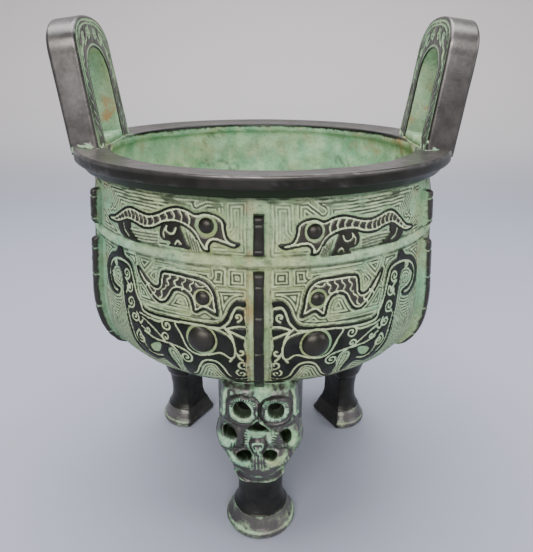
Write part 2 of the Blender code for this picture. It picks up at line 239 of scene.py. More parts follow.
class Panel:
    """A field of relief drawn with strokes. Places are (across, down) in millimetres."""

    def __init__(self, across, down, warp=None, level=GROUND):
        self.across = across
        self.down = down
        self.warp = warp
        self.height = np.full(across.shape, float(level))
        self.brown, self.deep, self.chalk = (np.zeros(across.shape) for _ in range(3))
        self.bare = np.ones(across.shape)
        self.edge = np.full(across.shape, 9.0)

    def curve(self, points, closed, sharp=False):
        line = np.array(points, float) if sharp else smooth_line(points, closed)
        if self.warp:
            line = self.warp(line)
        return np.concatenate([line, line[:1]]) if closed else line

    def reach(self, line, margin, closed=False):
        """The points near a line, and their distance from it: below zero inside a closed line."""
        low = line.min(0) - margin
        high = line.max(0) + margin
        where = (self.across > low[0]) & (self.across < high[0])
        where = where & (self.down > low[1]) & (self.down < high[1])
        across, down = self.across[where], self.down[where]
        away = distance(across, down, line)
        if closed:
            away = np.where(inside(across, down, line[:-1]), -away, away)
        return where, away

    def blend(self, where, part, level, layer="height"):
        field = getattr(self, layer)
        field[where] = field[where] * (1.0 - part) + level * part

    def limit(self, layer, where, values):
        field = getattr(self, layer)
        field[where] = np.minimum(field[where], values)

    def fill(self, points, level, inset=0.0, width=0.22, edge=True, soft=0.2, brown=None):
        """A raised or sunk shape, with an optional sunk line that follows its edge inside."""
        where, away = self.reach(self.curve(points, True), 3.4, True)
        self.blend(where, fall(away, -soft, soft), level)
        if inset:
            mark = fall(np.abs(away + inset), width * 0.3, width * 1.6) * (away < 0.0)
            self.blend(where, mark, GROUND)
            self.blend(where, mark, 1.0, "chalk")
        if brown is not None:
            self.blend(where, ease(-away, inset, inset + 0.4), brown, "brown")
        if edge:
            self.limit("edge", where, np.maximum(away, 0.0))
            self.limit("bare", where, ease(away, -0.15, 0.1))

    def halo(self, points, width):
        """Keeps the ground lines off a shape."""
        where, away = self.reach(self.curve(points, True), width + 0.4, True)
        self.limit("bare", where, ease(away, width - 0.3, width + 0.1))

    def line(self, points, level=GROUND, width=0.5, sharp=False, closed=False, edge=False, layer="height"):
        where, away = self.reach(self.curve(points, closed, sharp), 9.0 if edge else 2.0)
        mark = fall(away, width * 0.2, width * 1.05)
        self.blend(where, mark, level, layer)
        if level < MID and layer == "height":
            self.blend(where, mark, 1.0, "chalk")
        if edge:
            self.limit("edge", where, np.maximum(away - width * 0.5, 0.0))

    def lines(self, strokes, side=1):
        """Strokes given as points, level and width, mirrored for side -1."""
        for points, level, width in strokes:
            self.line([(side * across, down) for across, down in points], level, width)

    def spiral(self, centre, radius, turns, start, hand=1, width=0.5, tail=()):
        points = []
        steps = int(12 * turns)
        for index in range(steps + 1):
            share = index / steps
            angle = math.radians(start) + hand * 2.0 * math.pi * turns * (1.0 - share)
            reach = radius * (0.15 + 0.85 * share)
            points.append((centre[0] + reach * math.cos(angle), centre[1] + reach * math.sin(angle)))
        self.line(points + list(tail), width=width)

    def mound(self, centre, size, amount, power=1.0):
        """A soft round swelling, added to what is there."""
        away = ((self.across - centre[0]) / size[0]) ** 2 + ((self.down - centre[1]) / size[1]) ** 2
        self.height = self.height + amount * np.clip(1.0 - away, 0.0, 1.0) ** power


# Shapes of one half panel, measured from the flange over a leg. Down is below the ridge.
KUI_BACK = [
    (17.2, -11.2), (19.5, -12.0), (22.5, -12.4), (25.6, -11.8), (28.6, -10.7), (32.0, -10.0),
    (35.0, -10.4), (38.5, -11.1), (41.5, -10.5), (44.5, -8.6), (47.5, -6.6),
]
KUI_BELLY = [
    (16.6, -3.2), (18.0, -5.5), (20.0, -6.9), (23.0, -7.6), (26.5, -7.3), (30.0, -6.0),
    (34.0, -5.6), (38.0, -6.4), (41.0, -6.4), (44.0, -5.0), (47.0, -4.0),
]
KUI_TAIL = [(51.4, -5.4), (51.3, -4.1)]
KUI_JAWS = [(15.2, -1.8), (13.2, -1.8), (13.4, -3.2), (12.4, -4.3), (9.6, -3.9), (6.6, -3.3)]
KUI_HEAD = [(4.9, -4.7), (8.0, -5.6), (9.0, -7.4), (9.6, -10.2), (11.8, -11.6), (14.6, -11.9)]
KUI_FORELEG = [
    (18.8, -1.7), (19.9, -3.6), (20.8, -5.6), (22.2, -8.0), (26.0, -8.0), (27.9, -6.4), (28.2, -4.4),
    (27.0, -3.1), (25.2, -3.0), (24.6, -2.4), (25.4, -1.7), (22.0, -1.6),
]
KUI_HINDLEG = [
    (45.8, -6.0), (45.6, -3.6), (43.8, -1.9), (40.0, -1.5), (35.4, -1.7), (36.4, -2.9), (38.4, -3.6),
    (39.2, -5.0), (39.6, -7.2), (42.6, -7.8),
]
KUI_EYE = (14.5, -8.3)
CREATURE = [
    (10.8, 15.0), (11.2, 12.0), (11.8, 8.6), (13.4, 6.1), (16.0, 4.8), (20.5, 4.5), (25.0, 4.4),
    (27.9, 5.0), (28.7, 7.3), (29.0, 9.4), (30.1, 10.0), (31.8, 9.2), (34.0, 7.0), (35.8, 5.2),
    (37.2, 5.4), (35.8, 8.6), (33.6, 11.2), (31.3, 13.5), (28.8, 14.8), (26.4, 14.2), (24.8, 12.2),
    (23.6, 10.2), (21.7, 9.7), (19.8, 10.4), (18.7, 12.4), (18.2, 14.8), (16.8, 15.2), (14.8, 13.9),
    (12.6, 14.8),
]
CREATURE_EYE = (15.5, 10.4)
BEAST = [
    (3.4, 10.6), (5.6, 10.1), (7.6, 11.8), (8.8, 14.6), (10.6, 16.9), (14.0, 17.5), (20.0, 17.7),
    (30.0, 18.1), (34.0, 17.6), (36.3, 15.0), (37.6, 11.0), (38.4, 7.2), (39.8, 4.7), (42.8, 3.6),
    (43.6, 1.7), (45.8, 1.4), (47.4, 3.4), (50.8, 4.6), (53.8, 7.2), (54.8, 11.0), (53.2, 14.8),
    (49.8, 16.7), (46.4, 16.0), (45.5, 14.2), (47.6, 13.6), (50.0, 12.8), (50.8, 10.4), (49.4, 8.3),
    (46.8, 7.6), (45.0, 8.6), (44.2, 11.4), (43.8, 15.0), (43.0, 19.0), (42.2, 23.0), (41.4, 27.0),
    (40.0, 30.6), (37.4, 33.2), (33.0, 34.0), (29.4, 32.6), (27.4, 34.6), (25.6, 36.6), (25.4, 33.4),
    (26.6, 30.4), (26.4, 27.6), (24.0, 28.0), (23.0, 31.0), (22.6, 35.0), (21.8, 37.9), (19.8, 37.4),
    (17.8, 34.6), (16.2, 31.4), (14.2, 30.2), (12.2, 30.6), (11.0, 33.2), (9.4, 36.4), (6.8, 37.8),
    (4.2, 37.2), (3.4, 36.0), (3.9, 30.0), (3.3, 27.0), (4.0, 23.0), (3.4, 19.0), (3.9, 14.0),
]
BEAST_EYE = (15.7, 22.8)
BEAST_SOCKET = [
    (6.4, 27.0), (6.2, 23.6), (7.6, 20.6), (10.6, 19.0), (15.5, 18.4), (23.6, 19.0), (22.2, 22.6),
    (20.2, 26.6), (17.0, 28.0), (13.4, 27.4), (10.4, 26.4), (8.0, 27.8),
]
BEAST_LINES = [
    [(4.0, 12.4), (5.8, 12.2), (6.9, 13.6), (8.0, 16.4), (9.9, 18.3)],
    [(3.2, 17.6), (5.6, 17.6), (8.4, 18.6), (6.2, 19.8), (3.4, 21.0)],
    [(35.4, 17.2), (37.6, 13.6), (39.0, 9.0), (40.4, 6.2), (43.6, 5.2), (47.0, 5.4), (50.6, 6.9),
     (52.4, 9.6), (52.0, 12.6), (49.6, 14.9), (47.2, 15.0)],
    [(10.4, 18.6), (20.0, 18.9), (30.0, 19.4), (34.4, 18.8), (35.6, 17.2)],
    [(3.6, 35.6), (6.4, 36.2), (8.8, 34.6), (10.0, 31.4), (11.6, 29.4), (13.8, 29.0), (15.8, 29.8),
     (17.4, 32.2), (19.0, 35.4), (20.8, 37.0)],
    [(9.2, 18.2), (7.4, 20.4), (6.6, 23.4), (6.9, 26.6), (8.0, 28.6)],
    [(22.8, 31.4), (23.6, 28.0), (25.6, 26.6)],
    [(41.8, 19.6), (40.8, 23.6), (39.6, 28.4), (37.4, 31.4)],
    [(44.4, 12.6), (43.6, 16.2), (42.6, 20.8)],
]
# Centre, radius, turns, angle where the curl opens, hand, and the line that it runs into
BEAST_CURLS = [
    ((5.6, 14.9), 1.1, 1.1, 90, 1, ()),
    ((4.4, 29.6), 1.7, 1.3, 180, -1, ()),
    ((4.9, 25.2), 1.3, 0.9, 0, 1, ((5.4, 27.0), (4.4, 28.0))),
    ((5.0, 33.2), 1.5, 1.3, -60, 1, ()),
    ((26.4, 21.0), 1.6, 1.5, -60, 1, ((29.0, 20.4), (33.6, 20.2), (36.4, 19.6))),
    ((27.0, 24.6), 1.4, 1.4, 90, -1, ((30.4, 23.6), (33.4, 21.8), (35.6, 20.8))),
    ((21.0, 29.4), 1.7, 1.6, -150, -1, ((21.4, 27.0), (26.0, 26.2), (31.0, 26.0), (35.0, 24.6))),
    ((37.0, 27.2), 1.9, 1.7, -90, 1, ((35.2, 30.6), (32.4, 31.8), (29.6, 31.2))),
    ((33.6, 24.0), 1.0, 1.2, 0, 1, ((36.0, 23.4),)),
    ((42.0, 8.6), 1.6, 1.7, 60, 1, ((41.0, 11.8),)),
    ((40.8, 12.6), 1.5, 1.6, -120, -1, ((42.4, 14.4),)),
    ((40.0, 16.8), 1.7, 1.7, 60, 1, ((41.2, 19.0),)),
    ((38.6, 21.0), 1.6, 1.6, -120, -1, ((36.6, 22.6), (35.4, 21.6))),
    ((47.8, 6.6), 1.0, 1.3, 0, 1, ()),
    ((50.6, 10.4), 0.8, 1.0, 90, 1, ()),
]
BEAST_TEAR = [(29.2, 27.0), (31.6, 27.4), (33.6, 29.0), (32.8, 30.6), (30.8, 30.2), (29.6, 28.6)]
PLAIN_BY_FLANGE = 3.0
BORDER_TOP = -15.6
# Thin raised lines that part the squared ground into cells
CELL_LINES = [
    [(9.2, BORDER_TOP), (9.2, -9.0)], [(52.4, BORDER_TOP), (48.0, -9.6)], [(29.0, -4.6), (33.0, -1.5)],
    [(13.6, BORDER_TOP), (17.0, -13.4)], [(46.0, -2.6), (56.0, -8.0)], [(50.6, -9.0), (57.0, -12.6)],
    [(8.6, 1.5), (8.6, 7.0)], [(3.0, 7.0), (11.5, 7.0)], [(13.2, 1.5), (13.2, 4.0)],
    [(13.2, 3.0), (30.0, 3.0)], [(30.0, 1.5), (30.0, 4.0)], [(30.0, 3.0), (36.5, 9.5)],
    [(37.4, 1.5), (36.2, 5.0)], [(19.5, 15.8), (36.0, 15.8)],
]
GROUND_PITCH = 0.9


def wavy(start, end, swing, waves):
    """A line that swings from side to side on its way, as points."""
    (ax, ay), (bx, by) = start, end
    length = math.hypot(bx - ax, by - ay)
    points = []
    for share in np.linspace(0.0, 1.0, 13):
        off = swing * math.sin(2.0 * math.pi * waves * share) / length
        points.append((ax + (bx - ax) * share - (by - ay) * off, ay + (by - ay) * share + (bx - ax) * off))
    return points


def around(centre, radius, count=8):
    """A ring of points, to be joined by a smooth closed curve."""
    angles = 2.0 * math.pi * np.arange(count) / count
    return [(centre[0] + radius * math.cos(angle), centre[1] + radius * math.sin(angle)) for angle in angles]


# Strokes on the kui: points, level and width
KUI_STROKES = (
    ([(9.8, -4.8), (11.8, -5.2), (13.6, -4.8), (14.6, -3.2)], GROUND, 0.34),
    ([(22.9, -6.6), (23.6, -5.2), (24.9, -5.0), (26.0, -5.8), (25.8, -6.9)], 0.1, 0.36),
    ([(25.8, -6.9), (26.9, -5.2), (26.6, -3.9)], 0.1, 0.3),
    ([(21.4, -2.6), (22.4, -3.4), (23.2, -2.4)], 0.1, 0.34),
    ([(42.8, -5.4), (42.0, -3.6), (40.2, -2.5)], 0.1, 0.34),
)
# Wavy lines on the creature: start, end, swing and number of waves
CREATURE_WAVES = (
    ((18.3, 5.6), (19.2, 9.2), 0.42, 1.5), ((20.6, 5.6), (21.5, 9.2), 0.42, 1.5),
    ((22.9, 5.6), (23.8, 9.2), 0.42, 1.5), ((25.2, 5.6), (26.1, 9.2), 0.42, 1.5),
    ((26.6, 9.0), (28.6, 13.2), 0.4, 1.5), ((30.2, 11.4), (31.4, 13.2), 0.3, 1.0),
    ((32.2, 9.6), (33.6, 11.2), 0.3, 1.0),
)


def draw_kui(panel):
    outline = KUI_HEAD + KUI_BACK + KUI_TAIL + KUI_BELLY[::-1] + KUI_JAWS
    for shape in (KUI_FORELEG, KUI_HINDLEG, outline, around((52.8, -10.4), 2.6)):
        panel.halo(shape, 0.75)
    panel.fill(KUI_FORELEG, TOP, brown=0.5, edge=False)
    panel.fill(KUI_HINDLEG, TOP, brown=0.5, edge=False)
    panel.fill(outline, TOP, inset=0.95, brown=1.0, edge=False)
    back = np.array(KUI_BACK)
    belly = np.array(KUI_BELLY)
    for place in [*np.linspace(19.8, 33.4, 7), *np.linspace(35.0, 46.4, 8)]:
        high = np.interp(place, back[:, 0], back[:, 1]) + 1.0
        low = np.interp(place - 0.4, belly[:, 0], belly[:, 1]) - 1.0
        rib = []
        for share in np.linspace(0.0, 1.0, 5):
            bow = 0.7 * math.sin(math.pi * share) + 0.5 * share
            rib.append((place - bow, high + (low - high) * share))
        panel.line(rib, 0.1, 0.34)
    panel.fill(around(KUI_EYE, 3.0), 0.2, edge=False, brown=0.0)
    panel.lines(KUI_STROKES)
    # hatching beside the legs: a pale raised stroke, with a painted shadow just below it
    for step in range(4):
        beside = [(19.6 - 0.9 * step, -6.2 + 0.7 * step), (18.2 - 0.7 * step, -2.0)]
        along = [(28.9, -4.8 + 0.8 * step), (34.0, -4.9 + 0.85 * step), (39.4 - step, -4.6 + 0.7 * step)]
        for stroke in (beside, along):
            dark = [(place[0] + 0.3, place[1] + 0.4) for place in stroke]
            strokes = ((stroke, MID, "height"), (stroke, 0.9, "chalk"), (dark, 0.95, "deep"))
            for points, level, layer in strokes:
                panel.line(points, level, 0.42, layer=layer)


def draw_creature(panel):
    panel.fill(CREATURE, TOP, inset=1.05, brown=1.0)
    for start, end, swing, waves in CREATURE_WAVES:
        panel.line(wavy(start, end, swing, waves), 0.1, 0.34)
    panel.line([(14.6, 6.9), (16.6, 7.2), (17.4, 6.4)], 0.1, 0.3)
    panel.fill(around(CREATURE_EYE, 2.7), 0.15, edge=False, brown=0.0)


def draw_beast(panel):
    panel.fill(BEAST, TOP)
    for points in BEAST_LINES:
        panel.line(points, width=0.49)
    for centre, radius, turns, start, hand, tail in BEAST_CURLS:
        panel.spiral(centre, radius * 1.12, turns * 0.88, start, hand, 0.46, tail)
    panel.fill(BEAST_TEAR, 0.1, edge=False)
    panel.fill(BEAST_SOCKET, TOP, inset=0.3, width=0.28, edge=False)
    panel.fill(around(BEAST_EYE, 4.6), 0.25, edge=False)


def draw_half(panel):
    """Everything on one half panel, from the ground lines up."""
    near, far, end = PLAIN_BY_FLANGE, 61.0, BORDER_END
    borders = [[(near, down), (far, down)] for down in (BORDER_TOP, -BAND, BAND)]
    borders += [[(near, BORDER_TOP), (near, -BAND)], [(near, BAND), (near, end)], [(near, end), (far, end)]]
    borders += [[(60.0 - near, BORDER_TOP), (60.0 - near, end)]]
    for points in borders + CELL_LINES:
        panel.line(points, MID, 0.4, sharp=True, edge=True)
    draw_beast(panel)
    panel.chalk = panel.chalk * 0.55
    draw_creature(panel)
    draw_kui(panel)
    across, down = panel.across, panel.down
    spots = np.stack([across, down, 0.0 * down], -1)
    uneven = panel.edge + clouds(spots, (1.1, 8, 0.09), (4.0, 9, 0.12))
    lines = ease(0.5 - 0.5 * np.cos(2.0 * math.pi * uneven / GROUND_PITCH), 0.2, 0.9)
    plain = ease(across, near - 0.6, near) * fall(across, 55.4, 56.4)
    plain = plain * ease(down, BORDER_TOP - 0.4, BORDER_TOP) * fall(down, end, end + 0.4)
    plain = plain * ease(np.abs(down), 1.3, 1.7)
    clogged = ease(cloud(spots * (0.6, 1.0, 1.0), 1.5, 5) + 0.5 * cloud(spots, 5.0, 6), 0.35, 0.8)
    faded = ease(-down, 1.0, 3.0) * fall(across, 9.0, 14.0)
    free = fall(panel.height, 0.1, 0.3) * plain * panel.bare
    free = free * (1.0 - 0.5 * clogged) * (1.0 - 0.4 * faded)
    # the gaps between the raised ground lines, and the ground next to the figures' edges, are painted near
    # black: painted shade in the recesses
    panel.deep = np.maximum(panel.deep, 0.98 * (1.0 - lines) * free)
    panel.chalk = np.maximum(panel.chalk, (0.50 + 0.22 * ease(-down, -1.0, 1.0)) * lines * free)
    panel.wear = panel.height * ease(across, 2.0, 2.4)
    panel.height = np.maximum(panel.wear, MID * lines * free)
    return panel


def warp_from(anchors, reach=5.5):
    """Moves a drawing by given amounts near each anchor: (across, down, shift across, shift down)."""
    table = np.array(anchors, float)

    def warp(line):
        gap = line[:, None, :] - table[None, :, :2]
        weight = np.exp(-(gap ** 2).sum(-1) / (2.0 * reach ** 2))
        share = weight / np.maximum(weight.sum(1, keepdims=True), 1.0)
        return line + share @ table[:, 2:]
    return warp


# How the two front panels differ, as each was touched up by hand in the wax
LEFT_SHIFTS = [
    (13.0, -8.5, -0.8, -0.4), (22.5, -12.0, 0.0, -1.1), (23.0, -7.5, 0.0, -1.2), (32.0, -8.5, 0.0, 0.2),
    (50.0, -4.8, 0.0, -1.0), (15.5, 10.4, -0.4, 0.4), (28.5, 14.0, -0.2, -0.6), (20.0, 17.7, 0.0, -1.1),
    (31.0, 18.0, 0.0, -1.0), (15.7, 23.0, 0.1, -0.2), (52.0, 10.0, -1.0, 0.0),
]
RIGHT_SHIFTS = [
    (13.0, -8.5, 0.5, 0.5), (22.5, -12.0, 0.0, 1.3), (23.0, -7.5, 0.0, 0.8), (32.0, -8.5, 0.0, 0.2),
    (50.0, -4.8, 0.0, 1.2), (15.5, 10.4, 0.5, -0.3), (28.5, 14.0, -0.4, 0.4), (20.0, 17.7, 0.0, 1.0),
    (31.0, 18.0, 0.0, 1.0), (15.7, 23.0, -0.4, 0.4), (52.0, 10.0, 0.5, 0.0),
]


def panel_shifts(index, side):
    """The shifts of a half panel: listed for the two front ones, and at random on the others."""
    if index == 0:
        return LEFT_SHIFTS if side < 0 else RIGHT_SHIFTS
    rng = np.random.default_rng(10 + 2 * index + side)
    shifts = []
    for across, down, _, _ in LEFT_SHIFTS:
        shifts.append((across, down, rng.uniform(-0.5, 0.5), rng.uniform(-0.8, 0.8)))
    return shifts


def polar(turn, radius, height):
    """Metres from a turn in degrees from the front towards +X."""
    angle = np.radians(turn)
    return np.stack([radius * np.sin(angle), -radius * np.cos(angle), height + 0.0 * angle], -1) * MM


def turned(turn, out, across, height):
    """Points in millimetres on a leg or flange that stands at a turn in degrees from the front."""
    angle = math.radians(turn)
    x = out * math.sin(angle) + across * math.cos(angle)
    y = across * math.sin(angle) - out * math.cos(angle)
    return np.stack(np.broadcast_arrays(x, y, height), -1)


def mesh_piece(name, points, faces, marks):
    """A bronze piece in world place, with its wear values stored on its points."""
    mesh = bpy.data.meshes.new(name)
    mesh.from_pydata(points.tolist(), [], faces)
    for mark, values in marks.items():
        store = mesh.attributes.new(mark, "FLOAT", "POINT")
        store.data.foreach_set("value", np.ascontiguousarray(values, np.float32))
    mesh.polygons.foreach_set("use_smooth", [True] * len(mesh.polygons))
    mesh.materials.append(BRONZE)
    mesh.update()
    piece = bpy.data.objects.new(name, mesh)
    bpy.context.scene.collection.objects.link(piece)
    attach(piece, "root")
    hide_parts(NODE)


def grid_faces(rows, columns, start=0, wrap=False, flip=False):
    index = start + np.arange(rows * columns).reshape(rows, columns)
    if wrap:
        index = np.concatenate([index, index[:, :1]], 1)
    a, b, c, d = index[:-1, :-1], index[:-1, 1:], index[1:, 1:], index[1:, :-1]
    order = (a, b, c, d) if flip else (a, d, c, b)
    return np.stack(order, -1).reshape(-1, 4).tolist()


def border(rows, columns, start):
    """The points round a grid's edge, with how far round each is, in quarters."""
    index = start + np.arange(rows * columns).reshape(rows, columns)
    loop = []
    place = []
    sides = (index[0, :-1], index[:-1, -1], index[-1, :0:-1], index[:0:-1, 0])
    for quarter, side in enumerate(sides):
        loop += side.tolist()
        place += (quarter + np.arange(len(side)) / len(side)).tolist()
    return loop + loop[:1], place + [4.0]


def zip_borders(front, back):
    """Closes the gap between two grids' edges with triangles."""
    (a, at_a), (b, at_b) = front, back
    i = j = 0
    faces = []
    while i < len(a) - 1 or j < len(b) - 1:
        if j == len(b) - 1 or (i < len(a) - 1 and at_a[i + 1] <= at_b[j + 1]):
            faces.append((a[i], a[i + 1], b[j]))
            i += 1
        else:
            faces.append((a[i], b[j + 1], b[j]))
            j += 1
    return faces


def slab_piece(name, front, back, marks, flip=False):
    """A closed piece: a fine front grid, a coarse back grid and the band that joins them."""
    shape, back_shape = front.shape[:2], back.shape[:2]
    start = shape[0] * shape[1]
    points = np.concatenate([front.reshape(-1, 3), back.reshape(-1, 3)])
    faces = grid_faces(*shape, flip=flip) + grid_faces(*back_shape, start, flip=not flip)
    joint = zip_borders(border(*shape, 0), border(*back_shape, start))
    faces += joint if flip else [face[::-1] for face in joint]
    extra = {}
    for mark, values in marks.items():
        full = np.broadcast_to(values, shape).reshape(-1)
        extra[mark] = np.concatenate([full, np.full(len(points) - start, full[0])])
    mesh_piece(name, points, faces, extra)


def loft_piece(name, rings, marks, flip=False):
    """A closed piece from rings of points, with a middle point closing each end."""
    rows, columns = rings.shape[:2]
    points = np.concatenate([rings.reshape(-1, 3), rings[0].mean(0)[None], rings[-1].mean(0)[None]])
    faces = grid_faces(rows, columns, wrap=True, flip=flip)
    first, last = rows * columns, rows * columns + 1
    for column in range(columns):
        after = (column + 1) % columns
        ends = [(first, column, after), (last, first - columns + after, first - columns + column)]
        faces += [end[::-1] for end in ends] if flip else ends
    extra = {}
    for mark, values in marks.items():
        full = np.broadcast_to(values, (rows, columns))
        extra[mark] = np.concatenate([full.reshape(-1), [full[0].mean(), full[-1].mean()]])
    mesh_piece(name, points, faces, extra)


# Body

def make_body():
    """The relief, as three thick skins that meet behind the flanges between the legs."""
    for index, name in enumerate(("front", "right", "left")):
        face = index * THIRD
        down = np.linspace(COURSE[0], RELIEF_END, int((RELIEF_END - COURSE[0]) / CELLS[index]))
        turns = np.linspace(-60.0, 60.0, 2 * int(60.0 / CELLS[index]) + 1)
        fields = np.zeros((len(LAYERS), len(down), len(turns)))
        for side in (-1, 1):
            columns = turns * side >= 0.0
            across, rows = np.meshgrid(np.abs(turns[columns]), down)
            panel = draw_half(Panel(across, rows, warp_from(panel_shifts(index, side))))
            for field, layer in zip(fields, LAYERS):
                field[:, columns] = getattr(panel, layer)
        level, tone, brown, deep, chalk = fields
        height, radius, out, up = wall_at(down[:, None])
        place = polar(face + turns, radius, height)
        spots = place / MM
        down = down[:, None]
        away = np.abs(turns)
        foot = ease(down, 38.8, 39.2) * fall(down, 40.0, RELIEF_END)
        proud = (RELIEF_PROUD + RELIEF_SUNK) * level - RELIEF_SUNK
        proud = np.maximum(proud, RIDGE_PROUD * fall(np.abs(down), RIDGE_HALF - 0.4, RIDGE_HALF + 0.1))
        proud = np.maximum(proud, foot * 0.3 - RELIEF_SUNK) + clouds(spots, (1.6, 3, 0.05), (6.0, 4, 0.10))
        front = place + polar(face + turns, out, up) * proud[..., None]
        wear = np.maximum(tone, foot * 0.7)
        hue = 0.62 - 0.4 * ease(away, 8.0, 52.0) + 0.25 * bell(away, 12.0, 7.0) + 0.16 * ease(-down, 0.0, 4.0)
        rust = 0.5 * bell(away, 3.0, 2.6) + 0.35 * bell(away, 55.0, 4.0)
        # bare strips along the ridge and the flanges, with chalk and pits
        bare = np.maximum(fall(np.abs(down), 1.4, 1.9), fall(away, 2.4, 3.2))
        mottle = 0.5 + clouds(spots, (4.0, 7, 0.4), (0.9, 76, 0.4))
        chalk = np.maximum(chalk, 0.36 * bare * np.clip(mottle, 0.0, 1.0))
        pits = 0.4 * bare * ease(cloud(spots * (1.0, 1.0, 2.0), 1.1, 77), 0.3, 0.8)
        # dark cloudy lines along both roots of the ridge, partly stain and partly painted shade in the
        # creases; scratches below the lip and painted shade in the relief
        stain = ease(clouds(spots, (3.0, 71, 1.0), (0.9, 72, 0.6)), -0.8, 0.2)
        stain = 0.9 * bell(np.abs(down), 1.75, 0.42) * stain
        scratch = cloud(spots * (0.3, 0.3, 1.8), 1.0, 73) + 0.7 * cloud(spots * (0.25, 0.25, 1.0), 1.0, 74)
        scratch = 0.85 * ease(scratch, 0.2, 0.6) * fall(down, BORDER_TOP + 1.0, BORDER_TOP + 4.5)
        shade = 0.4 * level * (1.0 - brown) * ease(cloud(spots, 2.4, 75), -0.2, 0.6)
        deep = np.maximum.reduce([deep, stain, scratch, pits, shade * (tone > 0.6)])
        height, radius, out, up = wall_at(np.linspace(down[0], down[-1], 24))
        back = polar(face + np.linspace(-60.0, 60.0, 61), radius - SKIN * out, height - SKIN * up)
        marks = dict(wear=wear, polish_and_sheen=0.1 * brown, brown=brown, deep=deep, chalk=chalk, hue=hue, rust=rust)
        slab_piece("body_relief_" + name, front, back, marks)


def bowl_outline():
    """Radius and height down the hollow, then along the rim, the hidden shell and the underside."""
    power = 2.0 / BOWL_SQUARENESS
    belly, throat = BELLY_RADIUS - WALL, NECK_RADIUS - WALL
    top = RIM_TOP - RIM_DISH
    ledge = top - MOUTH_EDGE
    inner = []
    for turn in np.linspace(math.pi / 2.0, 0.0, 44):
        across = max(math.cos(turn), 0.0) ** power
        inner.append((belly * across, BELLY_HEIGHT - (BOWL_DEPTH - WALL) * math.sin(turn) ** power))
    for share in np.linspace(0.0, 1.0, 34)[1:]:
        inner.append((belly + (throat - belly) * share, BELLY_HEIGHT + (ledge - 1.8 - BELLY_HEIGHT) * share))
    inner += [(throat - 0.3, ledge - 1.1), (throat - 0.9, ledge - 0.4), (MOUTH_RADIUS, ledge)]
    inner += [(MOUTH_RADIUS - 0.05, top - MOUTH_EDGE * 0.5), (MOUTH_RADIUS, top - 0.5)]
    inner += [(MOUTH_RADIUS + 0.18, top - 0.15), (MOUTH_RADIUS + 0.6, top)]
    rim = []
    for share in np.linspace(0.08, 0.97, 14):
        rim.append((MOUTH_RADIUS + (RIM_RADIUS - MOUTH_RADIUS) * share, top + RIM_DISH * share ** 2))
    low = RIM_TOP - RIM_EDGE
    lip = RIM_RADIUS - LIP_INSET
    rim += [(RIM_RADIUS - 0.3, RIM_TOP - 0.08), (RIM_RADIUS - 0.08, RIM_TOP - 0.3)]
    rim += [(RIM_RADIUS, height) for height in np.linspace(RIM_TOP - 0.7, low + 0.35, 5)]
    rim += [(RIM_RADIUS - 0.25, low + 0.05), (RIM_RADIUS - 0.9, low), (lip + 0.25, low - 0.05)]
    rim += [(lip, low - 0.35), (lip - 0.15, NECK_TOP + 0.5), (lip - 0.5, NECK_TOP + 0.05)]
    rim.append((NECK_RADIUS + 0.6, NECK_TOP))
    parts = [inner, rim]
    hidden = (COURSE[0] + 0.4, RELIEF_END - 1.0, 14, SHELL_GAP)
    under = (RELIEF_END - 0.3, COURSE[-1] - 0.4, 46, UNDER_GAP)
    for start, end, count, gap in (hidden, under):
        height, radius, out, up = wall_at(np.linspace(start, end, count))
        parts.append(np.stack([radius - gap * out, height - gap * up], -1).tolist())
    return parts


